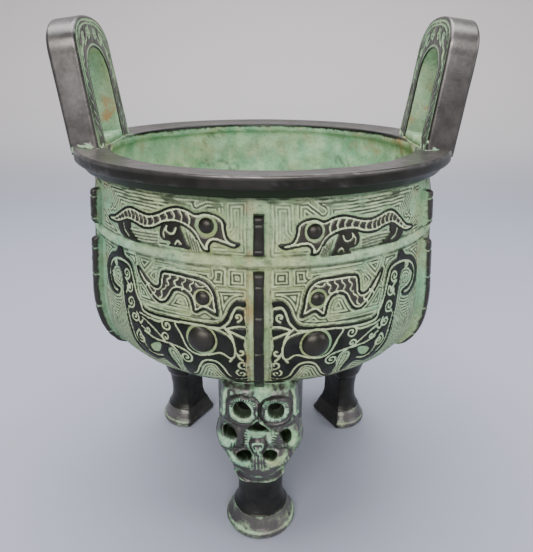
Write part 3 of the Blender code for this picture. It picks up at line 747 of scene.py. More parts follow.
def make_bowl():
    """Rim, hollow and underside, turned in one with a cast surface."""
    parts = bowl_outline()
    outline = np.array(sum(parts, []))
    outline[0, 0] = outline[-1, 0] = 0.8
    turns = np.arange(0.0, 360.0, 1.2)
    out, up = outline[:, :1], outline[:, 1:]
    zone = np.repeat([0, 1, 2, 3], [len(part) for part in parts])[:, None]
    inner, rim = zone == 0, zone == 1
    tangent = np.gradient(outline, axis=0)
    length = np.hypot(tangent[:, :1], tangent[:, 1:]) + 1e-9
    normal = polar(turns, tangent[:, 1:] / length, -tangent[:, :1] / length)
    place = polar(turns, out, up)
    rough = np.choose(zone, [0.30, 0.04, 0.0, 0.18]) * np.clip(length / 0.9, 0.15, 1.0)
    rough = rough * clouds(place / MM, (9.0, 21, 1.0), (3.4, 22, 0.6))
    place = place - normal * rough[..., None]
    spots = place / MM
    blank = 0.0 * rough
    side = bell(np.abs(np.abs((turns + 180.0) % 360.0 - 180.0) - 90.0), 0.0, 17.0)
    reach = (out - MOUTH_RADIUS) / (RIM_RADIUS - MOUTH_RADIUS)
    top = RIM_TOP - RIM_DISH
    blotch = 0.5 + 0.5 * cloud(spots, 7.0, 23)
    # worn metal on the rim and patina inside, with a dark band at the mouth
    mouth = inner & (up > top - MOUTH_EDGE - 0.1)
    wear = np.choose(zone, [0.0, 1.0, 0.5, 0.62]) + blank
    wear = np.where(mouth, 0.95 * ease(up, top - 1.7, top - 0.8) - 0.5 * side, wear)
    wear = np.clip(wear - 0.9 * rim * side * fall(reach, 0.15, 0.75), 0.0, 1.0)
    wear = wear + 0.24 * inner * ease(blotch, 0.6, 0.85) * (1.0 - mouth)
    # partly real polish and wear, partly painted: sheen on the rim's top, broken highlights in streaks round
    # its edge and a highlight along the arris between them
    edge = rim & (up > RIM_TOP - RIM_EDGE) & (out > RIM_RADIUS - 0.2)
    arris = rim * bell(out, RIM_RADIUS - 0.15, 0.2) * (up > RIM_TOP - 0.5)
    streaks = cloud(spots * (0.25, 0.25, 1.6), 1.2, 25) + 0.7 * cloud(spots, 1.0, 26)
    polish_and_sheen = 0.46 * (rim & (up > top - 0.01)) + 0.30 * edge * ease(streaks, 0.25, 0.9)
    polish_and_sheen = polish_and_sheen + 1.1 * arris * ease(clouds(spots, (5.0, 24, 1.0), (1.2, 30, 0.6)), 0.1, 0.8)
    hue = np.where(inner, 0.10, 0.5) + 0.6 * side * ease(up, 104.0, 118.0)
    rust = (side + 0.35) * np.where(inner, 1.0, 0.5) * ease(up, 96.0, 118.0)
    # dark veins in the hollow, and shade under its mouth and under the lip
    veins = fall(np.abs(clouds(spots, (8.0, 27, 1.0), (2.5, 28, 0.5))), 0.0, 0.10)
    veins = veins * ease(cloud(spots, 11.0, 29), 0.05, 0.4) * inner
    throat = inner * bell(up, top - MOUTH_EDGE - 0.6, 0.9)
    lip = rim & (up < RIM_TOP - RIM_EDGE - 0.2)
    deep = np.maximum(0.22 * throat + 0.80 * lip, 0.6 * veins)
    crests = ease(clouds(spots, (4.5, 34, 1.0), (1.6, 35, 0.5)), 0.0, 0.8)
    chalk = inner * (0.16 * ease(1.0 - blotch, 0.1, 0.6) + 0.30 * crests)
    marks = dict(wear=wear, polish_and_sheen=polish_and_sheen, hue=hue, rust=rust, deep=deep, brown=0.3 * rim, chalk=chalk)
    loft_piece("bowl_and_rim", place, marks, flip=True)


def make_boss(name, turn, down, radius, proud):
    """A polished round eye, standing in its sunk ring."""
    height, wall, out, up = [float(value) for value in wall_at(down)]
    axis = Vector(polar(turn, out, up)).normalized()
    centre = np.array(polar(turn, wall, height))
    side = axis.orthogonal().normalized()
    around_it = np.radians(np.arange(BOSS_SIDES) * 360.0 / BOSS_SIDES)[None, :, None]
    flat = np.array(side) * np.cos(around_it) + np.array(axis.cross(side)) * np.sin(around_it)
    rise = np.radians(np.linspace(0.0, 86.0, 15))[:, None, None]
    rings = centre + (flat * radius * np.cos(rise) + np.array(axis) * (proud * np.sin(rise) - 0.2)) * MM
    rings = np.concatenate([rings[:1] - np.array(axis) * MM, rings])
    wear = np.concatenate([[[0.3]], 0.55 + 0.45 * np.sin(rise[:, 0]) ** 0.5])
    loft_piece(name, rings, dict(wear=wear, polish_and_sheen=0.04, brown=0.5, hue=0.4), flip=True)


# Name, place, radius and height of each eye
EYES = (
    ("kui_eye", KUI_EYE, 2.1, 1.5),
    ("creature_eye", CREATURE_EYE, 2.05, 1.4),
    ("beast_eye", BEAST_EYE, 3.9, 2.5),
)


def make_eyes():
    for index in range(3):
        for side in (-1, 1):
            warp = warp_from(panel_shifts(index, side))
            for name, place, radius, proud in EYES:
                across, down = warp(np.array([place], float))[0]
                tag = "%s_%d%s" % (name, index, "l" if side < 0 else "r")
                make_boss(tag, index * THIRD + side * across, down, radius, proud)


# Flanges


# Name, foot, top and notch heights of a flange's two parts
FLANGE_PARTS = (
    ("upper", 102.4, 112.8, (104.2, 110.6)),
    ("lower", 61.4, 98.2, (66.6, 76.2, 86.6, 95.0)),
)
# Half of a flange's section, from its foot up: share of its half width, share of its height
FLANGE_HALF_SECTION = [
    (1.0, 0.0), (0.99, 0.2), (0.97, 0.4), (0.94, 0.6), (0.91, 0.76), (0.88, 0.86), (0.82, 0.94),
    (0.70, 0.985),
]


def flange_rows(bottom, top, notches):
    """Heights up a flange, with how far its edge stands out at each, and how near a notch is."""
    heights = np.linspace(bottom, top, int((top - bottom) / 0.2))[:, None]
    notch = np.exp(-((heights - np.array(notches)) / 0.3) ** 4).max(1, keepdims=True)
    proud = FLANGE_PROUD - 0.22 * notch
    for gap, reach, depth in ((heights - bottom, 1.8, 1.5), (top - heights, 1.2, 1.1)):
        corner = np.clip(gap / reach, 0.0, 1.0)
        proud -= depth * (1.0 - np.sqrt(1.0 - (1.0 - corner) ** 2))
    return heights, proud, notch


def make_flanges():
    section = [(-across, out) for across, out in FLANGE_HALF_SECTION]
    section = np.array(section + [(-0.4, 1.0), (0.0, 1.0), (0.4, 1.0)] + FLANGE_HALF_SECTION[::-1])
    side = section[:, 1]
    for index in range(6):
        turn = index * 60.0
        for name, bottom, top, notches in FLANGE_PARTS:
            heights, proud, notch = flange_rows(bottom, top, notches)
            blank = 0.0 * heights
            wobble = 0.09 * cloud(np.stack([heights, blank + turn, blank], -1), 4.0, 31)
            out = body_radius(heights) - 1.8 + (proud + 1.8) * side
            rings = turned(turn, out, section[:, 0] * (FLANGE_HALF + wobble), heights)
            rings = rings + 0.06 * cloud(rings, 1.3, 32)[..., None]
            patchy = 0.5 + 0.5 * cloud(rings, 2.2, 33)
            # the side of flange 1, turned to the light, keeps more pale patina: painted light
            start = 0.62 if index == 1 else 0.50
            wear = ease(side + 0.10 * (patchy - 0.5), start, start + 0.3)
            wear = wear * (1.0 - (0.5 if index else 0.2) * notch) * (1.0 - (0.30 if index else 0.12) * patchy)
            # dark green near the root of each flange: painted shade in the crease, far stronger on flange 5,
            # whose side is turned from the light
            deep = (0.55 if index == 5 else 0.12) * ease(side, 0.30, 0.42) * fall(side, 0.55, 0.95)
            marks = dict(wear=wear, polish_and_sheen=0.14 if index else 0.02, brown=0.3, hue=0.3, rust=0.2, deep=deep)
            loft_piece("flange_%s_%d" % (name, index), rings * MM, marks)


# Handles

def arch(half_low, half_top, shoulder, tall, power=2.0, count=250):
    """Points up one side, over a flattened arch and down the other, starting at the left foot."""
    side = int(count * 0.32)
    turn = np.linspace(math.pi, 0.0, count - 2 * side + 2)
    across = np.sign(np.cos(turn)) * np.abs(np.cos(turn)) ** (2.0 / power) * half_top
    up = shoulder + tall * np.maximum(np.sin(turn), 0.0) ** (2.0 / power)
    rise = np.linspace(-HANDLE_ROOT, shoulder, side)[:-1]
    half = half_low + (half_top - half_low) * np.clip(rise / shoulder, 0.0, 1.0)
    left = np.stack([-half, rise], -1)
    right = np.stack([half[::-1], rise[::-1]], -1)
    return np.concatenate([left, np.stack([across, up], -1), right])


# Leafy curls: centre, radius, turns, start angle, its change by side, hand and tail
HANDLE_CURLS = (
    ((3.2, 31.6), 1.7, 1.5, 90.0, -60.0, 1, [(5.4, 30.2), (8.0, 28.6)]),
    ((8.6, 30.4), 1.6, 1.4, 90.0, 50.0, -1, [(11.4, 27.4), (12.9, 23.6)]),
    ((12.7, 26.4), 1.3, 1.3, 60.0, 0.0, 1, [(14.4, 22.4), (14.6, 18.0)]),
)


def handle_marks(across, up):
    """Engraving of a handle's inner face: a double border and leafy curls over the crown."""
    panel = Panel(across, up, level=TOP)
    for inset, width in ((1.2, 0.5), (2.3, 0.35)):
        outer = arch(HANDLE_HALF_WIDTH - inset, HANDLE_HALF_TOP - inset, SHOULDER_RISE,
                     HANDLE_SHOULDER - inset, HANDLE_SQUARENESS, 60)
        panel.line(outer, 0.1, width, sharp=True)
    slot = arch(SLOT_HALF + 1.1, SLOT_HALF + 1.1, SLOT_RISE - SLOT_ARCH, SLOT_ARCH + 1.1, count=60)
    panel.line(slot, 0.15, 0.45, sharp=True)
    for side in (-1, 1):
        for (x, y), radius, turns, start, turn, hand, tail in HANDLE_CURLS:
            tail = [(side * place, rise) for place, rise in tail]
            panel.spiral((side * x, y), radius, turns, start + side * turn, side * hand, tail=tail)
        for rung in np.arange(2.6, 21.5, 3.1):
            panel.lines([([(12.8, rung), (14.4, rung + 1.2), (14.8, rung + 2.6)], 0.25, 0.4)], side)
        panel.lines([([(1.0, 35.0), (5.6, 34.2), (9.6, 32.9), (12.4, 30.2)], 0.15, 0.4)], side)
        panel.lines([([(leaf, 33.9), (leaf + 0.9, 32.9)], 0.2, 0.35) for leaf in (2.0, 5.0, 7.6)], side)
    panel.line([(0.0, 29.6), (0.0, 34.2)], 0.2, 0.45)
    return panel.height


def make_handles():
    thick, corner = HANDLE_HALF_THICK, HANDLE_CORNER
    outer = arch(HANDLE_HALF_WIDTH, HANDLE_HALF_TOP, SHOULDER_RISE, HANDLE_SHOULDER, HANDLE_SQUARENESS)
    inner = arch(SLOT_HALF, SLOT_HALF, SLOT_RISE - SLOT_ARCH, SLOT_ARCH)
    # round the bar, as share of the way in, depth and kind: engraved face, slot wall, plain face, outer edge
    depths = np.linspace(-1.0, 1.0, 17)[1:-1]
    section = [(share, -1.0, ENGRAVED) for share in np.linspace(0.0, 1.0, 33)]
    section += [(1.0, depth, SLOT_WALL) for depth in depths]
    section += [(share, 1.0, PLAIN) for share in np.linspace(1.0, 0.0, 14)]
    section += [(0.0, -depth, PLAIN) for depth in depths]
    share, level, kind = np.array(section).T
    flat = outer[:, None, :] * (1.0 - share)[:, None] + inner[:, None, :] * share[:, None]
    bar = np.hypot(*(outer - inner).T)[:, None]
    drop = np.clip(1.0 - np.minimum(share, 1.0 - share) * bar / corner, 0.0, 1.0)
    pull = np.clip(1.0 - (1.0 - np.abs(level)) * thick / corner, 0.0, 1.0)
    depth = level * thick - np.sign(level) * corner * (1.0 - np.sqrt(1.0 - drop ** 2)) * 0.5 * pull
    centre = (outer + inner)[:, None, :] * 0.5
    lean_in = (centre - flat) / (np.linalg.norm(centre - flat, axis=-1, keepdims=True) + 1e-9)
    flat = flat + lean_in * (corner * 0.5 * drop * (1.0 - np.sqrt(1.0 - pull ** 2)))[..., None]
    across, up = flat[..., 0], flat[..., 1]
    inner_face = kind == ENGRAVED
    wall = 1.0 * (kind == SLOT_WALL)
    engraved = np.ones(across.shape)
    engraved[:, inner_face] = handle_marks(across[:, inner_face], up[:, inner_face])
    depth = depth + (1.0 - engraved) * 0.35
    sill = np.array([(-1.0, -HANDLE_ROOT), (-1.0, 1.2), (-0.9, 1.5), (-0.7, SLOT_SILL), (0.0, SLOT_SILL),
                     (0.7, SLOT_SILL), (0.9, 1.5), (1.0, 1.2), (1.0, -HANDLE_ROOT)])
    along = np.linspace(-SLOT_HALF - 0.8, SLOT_HALF + 0.8, 40)[:, None]
    for name, side in (("right", 1.0), ("left", -1.0)):
        out = Vector((side, 0.0, 0.0))
        lean_up = Vector((0.0, 0.0, math.cos(HANDLE_LEAN))) + out * math.sin(HANDLE_LEAN)
        sideways = lean_up.cross(out).normalized()
        face = np.array(sideways.cross(lean_up).normalized())
        upward, sideways = np.array(lean_up), np.array(sideways)
        middle = MOUTH_RADIUS + HANDLE_HALF_THICK / math.cos(HANDLE_LEAN)
        origin = np.array((side * middle, 0.0, RIM_TOP - RIM_DISH * 0.5))
        rings = origin + across[..., None] * sideways + up[..., None] * upward + depth[..., None] * face
        rings = rings + 0.10 * cloud(rings, 7.0, 41)[..., None] * face
        ragged = cloud(rings, 3.0, 42)
        wear = np.where(wall > 0.5, 0.02, 1.0) * engraved - 0.10 * inner_face * (1.0 + ragged)
        crust = fall(up + 1.9 * ragged + 0.7 * cloud(rings, 0.9, 44), 0.0, 1.0)
        crust = crust * ease(clouds(rings, (0.9, 46, 1.0), (2.2, 47, 0.6)), -0.2, 0.4)
        wear = wear * (1.0 - 0.8 * crust)
        streak = 0.8 + 0.2 * cloud(rings * (1.0, 1.0, 0.4), 5.0, 45)
        # painted sheen, partly real polish: strong on the plain faces, weaker on the engraved face, in
        # streaks, and fading on the rounded edges
        polish_and_sheen = np.where(inner_face, 0.42, 0.90) * streak * (1.0 - 0.7 * ease(pull + drop, 1.2, 1.9))
        rust = 0.96 * wall * (1.0 - 0.8 * ease(up, 8.0, 22.0))
        chalk = 0.3 * crust * (1.0 - wall) + 0.3 * inner_face + 0.12 * wall
        brown = 0.3 * fall(up, 8.0, 24.0)
        marks = dict(wear=wear, polish_and_sheen=polish_and_sheen, hue=0.1 + 0.36 * wall, rust=rust, chalk=chalk, brown=brown)
        loft_piece("handle_" + name, rings * MM, marks)
        place = origin + along[..., None] * sideways + (sill[:, :1] * (thick - 0.4)) * face
        place = place + sill[:, 1:] * upward
        place = place + 0.08 * cloud(place, 3.0, 43)[..., None] * upward
        loft_piece("sill_" + name, place * MM, dict(wear=0.12, hue=0.5, rust=0.5), flip=True)


# Legs

LEG_COURSE = (
    (0.0, 10.9), (0.35, 11.3), (1.3, 11.72), (2.2, 11.6), (3.0, 10.95), (3.8, 10.5), (5.5, 9.75), (7.2, 8.98),
    (7.45, 9.05), (7.8, 8.7), (9.5, 7.95), (12.5, 7.42), (17.1, 7.4), (21.8, 8.0), (24.5, 8.8), (27.0, 9.7),
    (30.9, 11.3), (35.7, 12.6), (39.0, 13.2), (LEG_TOP, 13.2),
)


def make_legs():
    course_height, course_radius = np.array(LEG_COURSE).T
    heights = [np.linspace(0.0, 9.0, 46), np.linspace(9.0, 36.0, 60)[1:], np.linspace(36.0, LEG_TOP, 24)[1:]]
    heights = np.concatenate(heights)
    radius = np.interp(heights, course_height, course_radius)
    smooth = np.convolve(np.pad(radius, 2, mode="edge"), np.ones(5) / 5.0, mode="valid")
    radius = np.where(heights > 9.0, smooth, radius)
    flat = np.linspace(1.0, -1.0, 26)[1:-1]
    # the rear legs are a little slimmer, with a small step at the foot of the block
    slim = np.interp(heights, (0.0, 6.0, 12.0, 28.0, 40.0), (0.95, 0.95, 0.89, 0.89, 1.0))
    step = 0.6 * ease(heights, 23.4, 24.0) * fall(heights, 26.0, 36.0)
    for index in range(3):
        turn = index * THIRD
        flat_at = LEG_FLAT_REAR if index else LEG_FLAT
        open_angle = math.pi - math.acos(flat_at)
        arc = np.linspace(-open_angle, open_angle, 84)
        unit_x = np.concatenate([np.cos(arc), np.full(len(flat), math.cos(open_angle))])
        unit_y = np.concatenate([np.sin(arc), flat * math.sin(open_angle)])
        reach = (radius * slim + step if index else radius)[:, None]
        out, side = LEG_RADIUS + unit_x * reach, unit_y * reach
        z = np.minimum(heights[:, None], roof(np.hypot(out, side)))
        rings = turned(turn, out, side, z)
        grain = clouds(rings, (5.0, 51, 0.10), (1.5, 52, 0.04)) * ease(z, 0.3, 1.6)
        rings = rings + turned(turn, grain, 0.0, 0.0)
        # a green band with dark lines round the foot, and patina up by the bowl
        band = fall(z, 6.9, 7.5)
        line = bell(z, 7.35, 0.3) + bell(z, 2.7, 0.35)
        patchy = 0.5 + 0.5 * cloud(rings, 3.6, 53)
        speck = cloud(rings, 1.1, 54)
        green = (0.22 + 0.26 * ease(patchy, 0.3, 0.8) + 0.16 * speck) * (0.6 if index else 0.85)
        # outer is low on the flat inner side, which keeps less of the green band and less sheen: painted
        # shade on the side turned from the light
        outer = 0.25 + 0.75 * ease(unit_x + flat_at, 0.01, 0.14)
        wear = 1.0 - (band * green + 0.34 * line + 0.16 * bell(z, 1.2, 0.8)) * outer
        wear = wear - 0.35 * ease(z, 47.0, 60.0) * patchy
        # painted sheen on the green band, stronger on the rear legs, which also get it along their small step
        polish_and_sheen = 0.06 + (0.8 if index else 0.66) * band * outer
        if index:
            polish_and_sheen = polish_and_sheen + 0.35 * bell(z, 24.1, 0.5)
        loft_piece("leg_%d" % index, rings * MM, dict(wear=wear, polish_and_sheen=polish_and_sheen, hue=0.3, chalk=0.25))


# Half width of the mask, in millimetres, and the height that it is at
MASK_SIDE = (
    (2.4, 26.3), (5.2, 27.0), (7.0, 28.6), (8.0, 31.0), (8.6, 33.0), (9.2, 34.6), (10.0, 36.4), (11.8, 38.4),
    (12.9, 40.6), (13.2, 44.2), (12.5, 47.9), (11.5, 49.6), (11.8, 55.7), (11.3, 60.8), (10.2, 62.5),
)


MASK_HOLES = (
    [(-6.9, 56.2), (-5.1, 58.0), (-3.8, 56.6), (-2.6, 54.8), (-2.9, 53.0), (-5.0, 52.2), (-6.8, 53.1),
     (-7.3, 54.7)],
    [(2.9, 56.2), (4.5, 57.2), (6.0, 56.6), (6.9, 55.0), (6.6, 53.0), (5.4, 52.3), (3.6, 52.6), (2.7, 54.2)],
    [(-3.0, 47.7), (-1.4, 49.6), (-0.2, 50.5), (1.2, 50.0), (2.4, 48.7), (3.3, 47.2), (0.9, 47.4),
     (-1.2, 47.3)],
    [(-10.4, 47.6), (-9.0, 47.9), (-7.7, 47.0), (-6.9, 45.4), (-8.5, 45.1), (-9.9, 45.8)],
    [(6.2, 46.6), (7.8, 47.0), (9.0, 46.6), (8.9, 44.9), (7.6, 43.6), (7.0, 45.0)],
    [(-6.6, 38.9), (-5.2, 39.8), (-3.8, 39.9), (-2.6, 39.3), (-3.1, 38.2), (-4.4, 37.7), (-6.0, 38.2)],
    [(1.4, 39.4), (3.0, 40.0), (5.0, 39.5), (4.4, 38.4), (3.1, 37.9), (1.9, 38.4)],
)
# Pale patina on the mask: outline, then how pale
MASK_PALE = (
    ([(-0.4, 62.0), (-1.2, 59.6), (-0.2, 57.8), (0.6, 56.0), (1.6, 56.4), (3.0, 58.6), (2.4, 60.4),
      (3.6, 61.4),
      (2.8, 62.2)], 0.14),
    ([(-12.3, 45.2), (-11.6, 43.0), (-10.2, 41.6), (-8.0, 42.0), (-6.8, 43.6), (-8.4, 44.8),
      (-10.4, 45.4)], 0.05),
    ([(9.2, 46.8), (10.8, 46.4), (10.9, 43.6), (9.6, 42.4), (8.4, 43.2), (9.3, 45.0)], 0.15),
    ([(-3.7, 47.1), (0.0, 46.8), (3.9, 47.1), (3.2, 45.3), (0.0, 45.9), (-3.2, 45.2)], 0.12),
    ([(-4.2, 47.0), (-2.6, 46.8), (-2.4, 44.2), (-2.8, 41.6), (-4.2, 42.2)], 0.2),
    ([(2.2, 46.6), (5.2, 46.8), (5.0, 44.6), (3.2, 42.6), (2.2, 43.6)], 0.1),
    ([(-9.7, 38.8), (-8.2, 37.2), (-5.8, 35.8), (-3.8, 35.2), (-2.5, 36.4), (-3.0, 37.3), (-4.6, 37.2),
      (-6.6, 37.9),
      (-8.4, 38.9)], 0.0),
    ([(1.9, 37.4), (3.8, 37.8), (6.4, 38.8), (8.3, 38.8), (7.2, 37.0), (5.2, 35.6), (2.4, 35.4)], 0.2),
    ([(-10.0, 61.0), (-8.4, 60.8), (-8.8, 57.4), (-10.0, 56.6)], 0.25),
    ([(-6.2, 61.0), (-4.8, 60.6), (-5.0, 58.6), (-6.4, 58.8)], 0.35),
    ([(0.4, 34.4), (2.4, 34.6), (3.4, 33.2), (1.6, 32.4)], 0.4),
)


# Strokes of the mask: points, then level and width where they are always drawn alike
MASK_RIM = [(9.4, 60.8), (10.1, 58.4), (10.2, 54.0), (10.6, 52.2), (12.0, 51.2)]
MASK_SLASH = [(0.2, 51.3), (2.2, 49.4), (4.2, 46.9)]
MASK_CRESCENT = [(-7.6, 31.2), (-6.0, 28.6), (-3.4, 27.3), (-0.5, 26.9), (2.0, 27.2), (5.0, 28.6),
(7.2, 31.2)]
MASK_CHEEK = (
    ([(0.4, 52.4), (3.0, 49.6), (5.4, 48.5), (9.2, 48.6)], 1.0, 0.55),
    ([(0.3, 57.4), (1.4, 54.6), (0.6, 52.2)], 0.98, 0.5),
)
MASK_NOSE = (
    ([(-1.5, 42.4), (-2.0, 43.2), (-1.8, 44.2), (-0.4, 44.6), (1.0, 44.2), (1.1, 43.1), (0.4, 42.7),
      (0.2, 43.4)],
     0.1, 0.34),
    ([(-1.5, 42.4), (-0.9, 42.8), (-1.0, 43.5)], 0.1, 0.32),
    ([(-0.3, 43.0), (-0.2, 41.9), (0.4, 41.2)], 0.1, 0.3),
)
MASK_CHIN = (
    ([(-6.4, 34.0), (-3.0, 32.6), (0.0, 32.2), (3.0, 32.6), (6.0, 34.0)], 1.0, 1.2),
    ([(-5.8, 31.0), (-3.0, 29.6), (0.0, 29.2), (3.2, 29.8), (5.6, 31.2)], 1.0, 1.6),
    ([(-5.4, 32.2), (-3.0, 30.9), (0.0, 30.5), (3.2, 31.1), (4.8, 32.2)], 0.55, 0.3),
    (MASK_CRESCENT, 0.42, 0.42),
)


def draw_mask(across, height):
    """Forms of the mask in millimetres of stand-out, and where it is pale (0) or dark (1)."""
    form = Panel(across, height)
    tone = Panel(across, height, level=0.70)
    form.mound((0.0, 46.5), (15.0, 24.0), 0.9)
    for outline, pale in MASK_PALE:
        tone.fill(outline, pale, edge=False, soft=0.7)
    for side in (-1, 1):
        eye = (side * 4.8, 54.8)
        ring = 4.3 if side < 0 else 3.9
        form.mound((side * 5.6, 60.0), (5.6, 3.2), 1.2)
        form.mound(eye, (6.4, 6.2), 1.7, 0.8)
        form.mound(eye, (3.9, 3.9), -0.9, 0.7)
        # pale ring round the eye, lashed above and finely cut below
        tone.fill(around(eye, ring), 0.12, edge=False, soft=0.3)
        for angle in 2.0 * math.pi * np.arange(34) / 34:
            above = math.sin(angle) > 0.1
            points = []
            for reach in ((0.72 if above else 0.86) * ring, 1.03 * ring):
                points.append((eye[0] + reach * math.cos(angle), eye[1] + reach * math.sin(angle)))
            tone.line(points, 0.9 if above else 0.55, 0.30 if above else 0.2, sharp=True)
        tone.line(around(eye, ring + 0.8, 12), 0.95, 0.6, closed=True)
        form.line(around(eye, ring + 0.95, 12), 0.9, 0.55, closed=True)
        # raised pale line down the outer edge, turning out over the cheek
        tone.lines([([(8.7, 60.6), (9.0, 55.0), (8.8, 50.6)], 1.0, 0.7), (MASK_RIM, 0.05, 0.62)], side)
        form.lines([(MASK_RIM, 1.5, 0.7)], side)
        form.mound((side * 10.2, 43.6), (3.6, 4.6), 2.4)
        form.mound((side * 5.2, 37.0), (4.8, 3.6), 2.2)
        form.mound((side * 6.2, 44.2), (2.0, 4.4), 1.1)
        for fringe in range(8):
            start = (side * (2.6 + fringe * 0.85), 35.4 + fringe * 0.32)
            tone.line([start, (start[0] + side * 0.2, start[1] - 1.1)], 0.2, 0.3, sharp=True)
        # whisker lines from the nose, and folds down the cheek
        highs = 47.0 - 0.95 * np.arange(6)
        tone.lines([([(3.6, high - 0.3), (6.2, high + 0.1)], 0.95, 0.26) for high in highs], side)
        tone.lines([([(fold, 43.4), (fold + 0.2, 40.6)], 0.95, 0.24) for fold in (6.4, 7.3, 8.2)], side)
        tone.lines(MASK_CHEEK, side)
    tone.line(MASK_SLASH, 0.1, 0.3)
    form.line(MASK_SLASH, 2.6, 0.4)
    tone.line([(-3.6, 47.2), (0.0, 46.7), (3.8, 46.8)], 0.15, 0.4)
    # nose, with its small double curl, and the ridge below it
    form.mound((-0.4, 43.0), (2.9, 3.4), 2.8, 0.7)
    form.mound((-0.4, 38.0), (2.5, 5.6), 1.9)
    form.mound((0.0, 31.5), (7.0, 4.5), 1.3)
    tone.fill(around((-0.4, 43.1), 2.5, 10), 0.8, edge=False)
    tone.line(around((-0.4, 43.1), 2.4, 10), 1.0, 0.5, closed=True)
    tone.lines(MASK_NOSE)
    for stripe in (-1.4, -0.6, 0.3, 0.9):
        tone.line([(stripe - 0.2, 40.7), (stripe * 1.3, 34.6)], 0.3, 0.26, sharp=True)
        tone.line([(stripe + 0.15, 40.7), (stripe * 1.3 + 0.4, 34.6)], 1.0, 0.26, sharp=True)
    tone.lines(MASK_CHIN)
    form.line(MASK_CRESCENT, 1.2, 0.6)
    # each hole and a thin rim round it are painted dark green: painted shade in the sunk holes
    for hole in MASK_HOLES:
        where, away = tone.reach(tone.curve(hole, True), 0.6, True)
        tone.deep[where] = np.maximum(tone.deep[where], fall(away, 0.22, 0.55))
        form.fill(hole, -2.6, edge=False, soft=0.3)
    return form.height, tone.height, tone.deep


def make_masks():
    rows, columns = MASK_GRID
    height = np.linspace(MASK_BOTTOM, MASK_TOP, rows)[:, None]
    share = np.linspace(-1.0, 1.0, columns)
    half, half_at = np.array(MASK_SIDE).T
    across = share * np.interp(height, half_at, half)
    height = height + 0.0 * across
    form, tone, deep = draw_mask(across, height)
    roll = fall(1.0 - np.abs(share), 0.0, 0.14)
    end = fall(np.minimum(height - MASK_BOTTOM, MASK_TOP - height), 0.0, 1.6)
    chin = fall(height, MASK_BOTTOM, MASK_BOTTOM + 8.0)
    out = MASK_FACE - 2.2 * (across / MASK_HALF) ** 2 + form - 2.4 * roll ** 2 - 1.8 * end ** 2 - chin
    rust = bell(across, 4.5, 2.6) * bell(height, 37.0, 1.6)
    coarse = [np.linspace(0, whole - 1, few).astype(int) for whole, few in zip(MASK_GRID, MASK_REAR_GRID)]
    coarse = np.ix_(*coarse)
    for index in range(3):
        turn = index * THIRD
        grain = 0.08 * cloud(np.stack([across, height, np.full(out.shape, 30.0 * index)], -1), 1.4, 61)
        front = turned(turn, out + grain, across, height)
        rear = turned(turn, MASK_REAR, 0.96 * across[coarse], height[coarse])
        spots = np.stack([across, height, np.full(out.shape, 50.0 * index)], -1)
        wear = tone + clouds(spots, (0.7, 62, 0.30), (2.8, 63, 0.17)) * (1.0 - deep)
        chalk = 0.45 * fall(wear, -0.1, 0.3)
        marks = dict(wear=wear, polish_and_sheen=0.46, hue=0.12 + 0.5 * rust, rust=0.8 * rust, deep=deep, chalk=chalk)
        slab_piece("mask_%d" % index, front * MM, rear * MM, marks, flip=True)


# Material

class Nodes:
    """A material's nodes, added one by one. A value is a number, a colour or another node's output."""

    def __init__(self, name):
        self.material = bpy.data.materials.new(name)
        self.material.use_nodes = True
        self.tree = self.material.node_tree
        self.shader = self.tree.nodes["Principled BSDF"]
        self.coords = self.add("ShaderNodeTexCoord").outputs["Object"]

    def add(self, kind, **settings):
        made = self.tree.nodes.new(kind)
        for key, value in settings.items():
            setattr(made, key, value)
        return made

    def put(self, value, socket):
        if isinstance(value, bpy.types.NodeSocket):
            self.tree.links.new(value, socket)
        else:
            socket.default_value = value + (1.0,) if isinstance(value, tuple) else value

    def maths(self, operation, *values, clamp=False):
        made = self.add("ShaderNodeMath", operation=operation, use_clamp=clamp)
        for value, socket in zip(values, made.inputs):
            self.put(value, socket)
        return made.outputs[0]

    def span(self, value, low, high, to_low=0.0, to_high=1.0):
        made = self.add("ShaderNodeMapRange", interpolation_type="SMOOTHSTEP")
        for number, socket in zip((value, low, high, to_low, to_high), made.inputs):
            self.put(number, socket)
        return made.outputs[0]

    def mix(self, share, first, second):
        made = self.add("ShaderNodeMix", data_type="RGBA")
        for value, place in ((share, 0), (first, 6), (second, 7)):
            self.put(value, made.inputs[place])
        return made.outputs[2]

    def noise(self, scale, detail=4.0, rough=0.6):
        made = self.add("ShaderNodeTexNoise")
        settings = {"Vector": self.coords, "Scale": scale, "Detail": detail, "Roughness": rough}
        for name, value in settings.items():
            self.put(value, made.inputs[name])
        return made.outputs["Fac"]


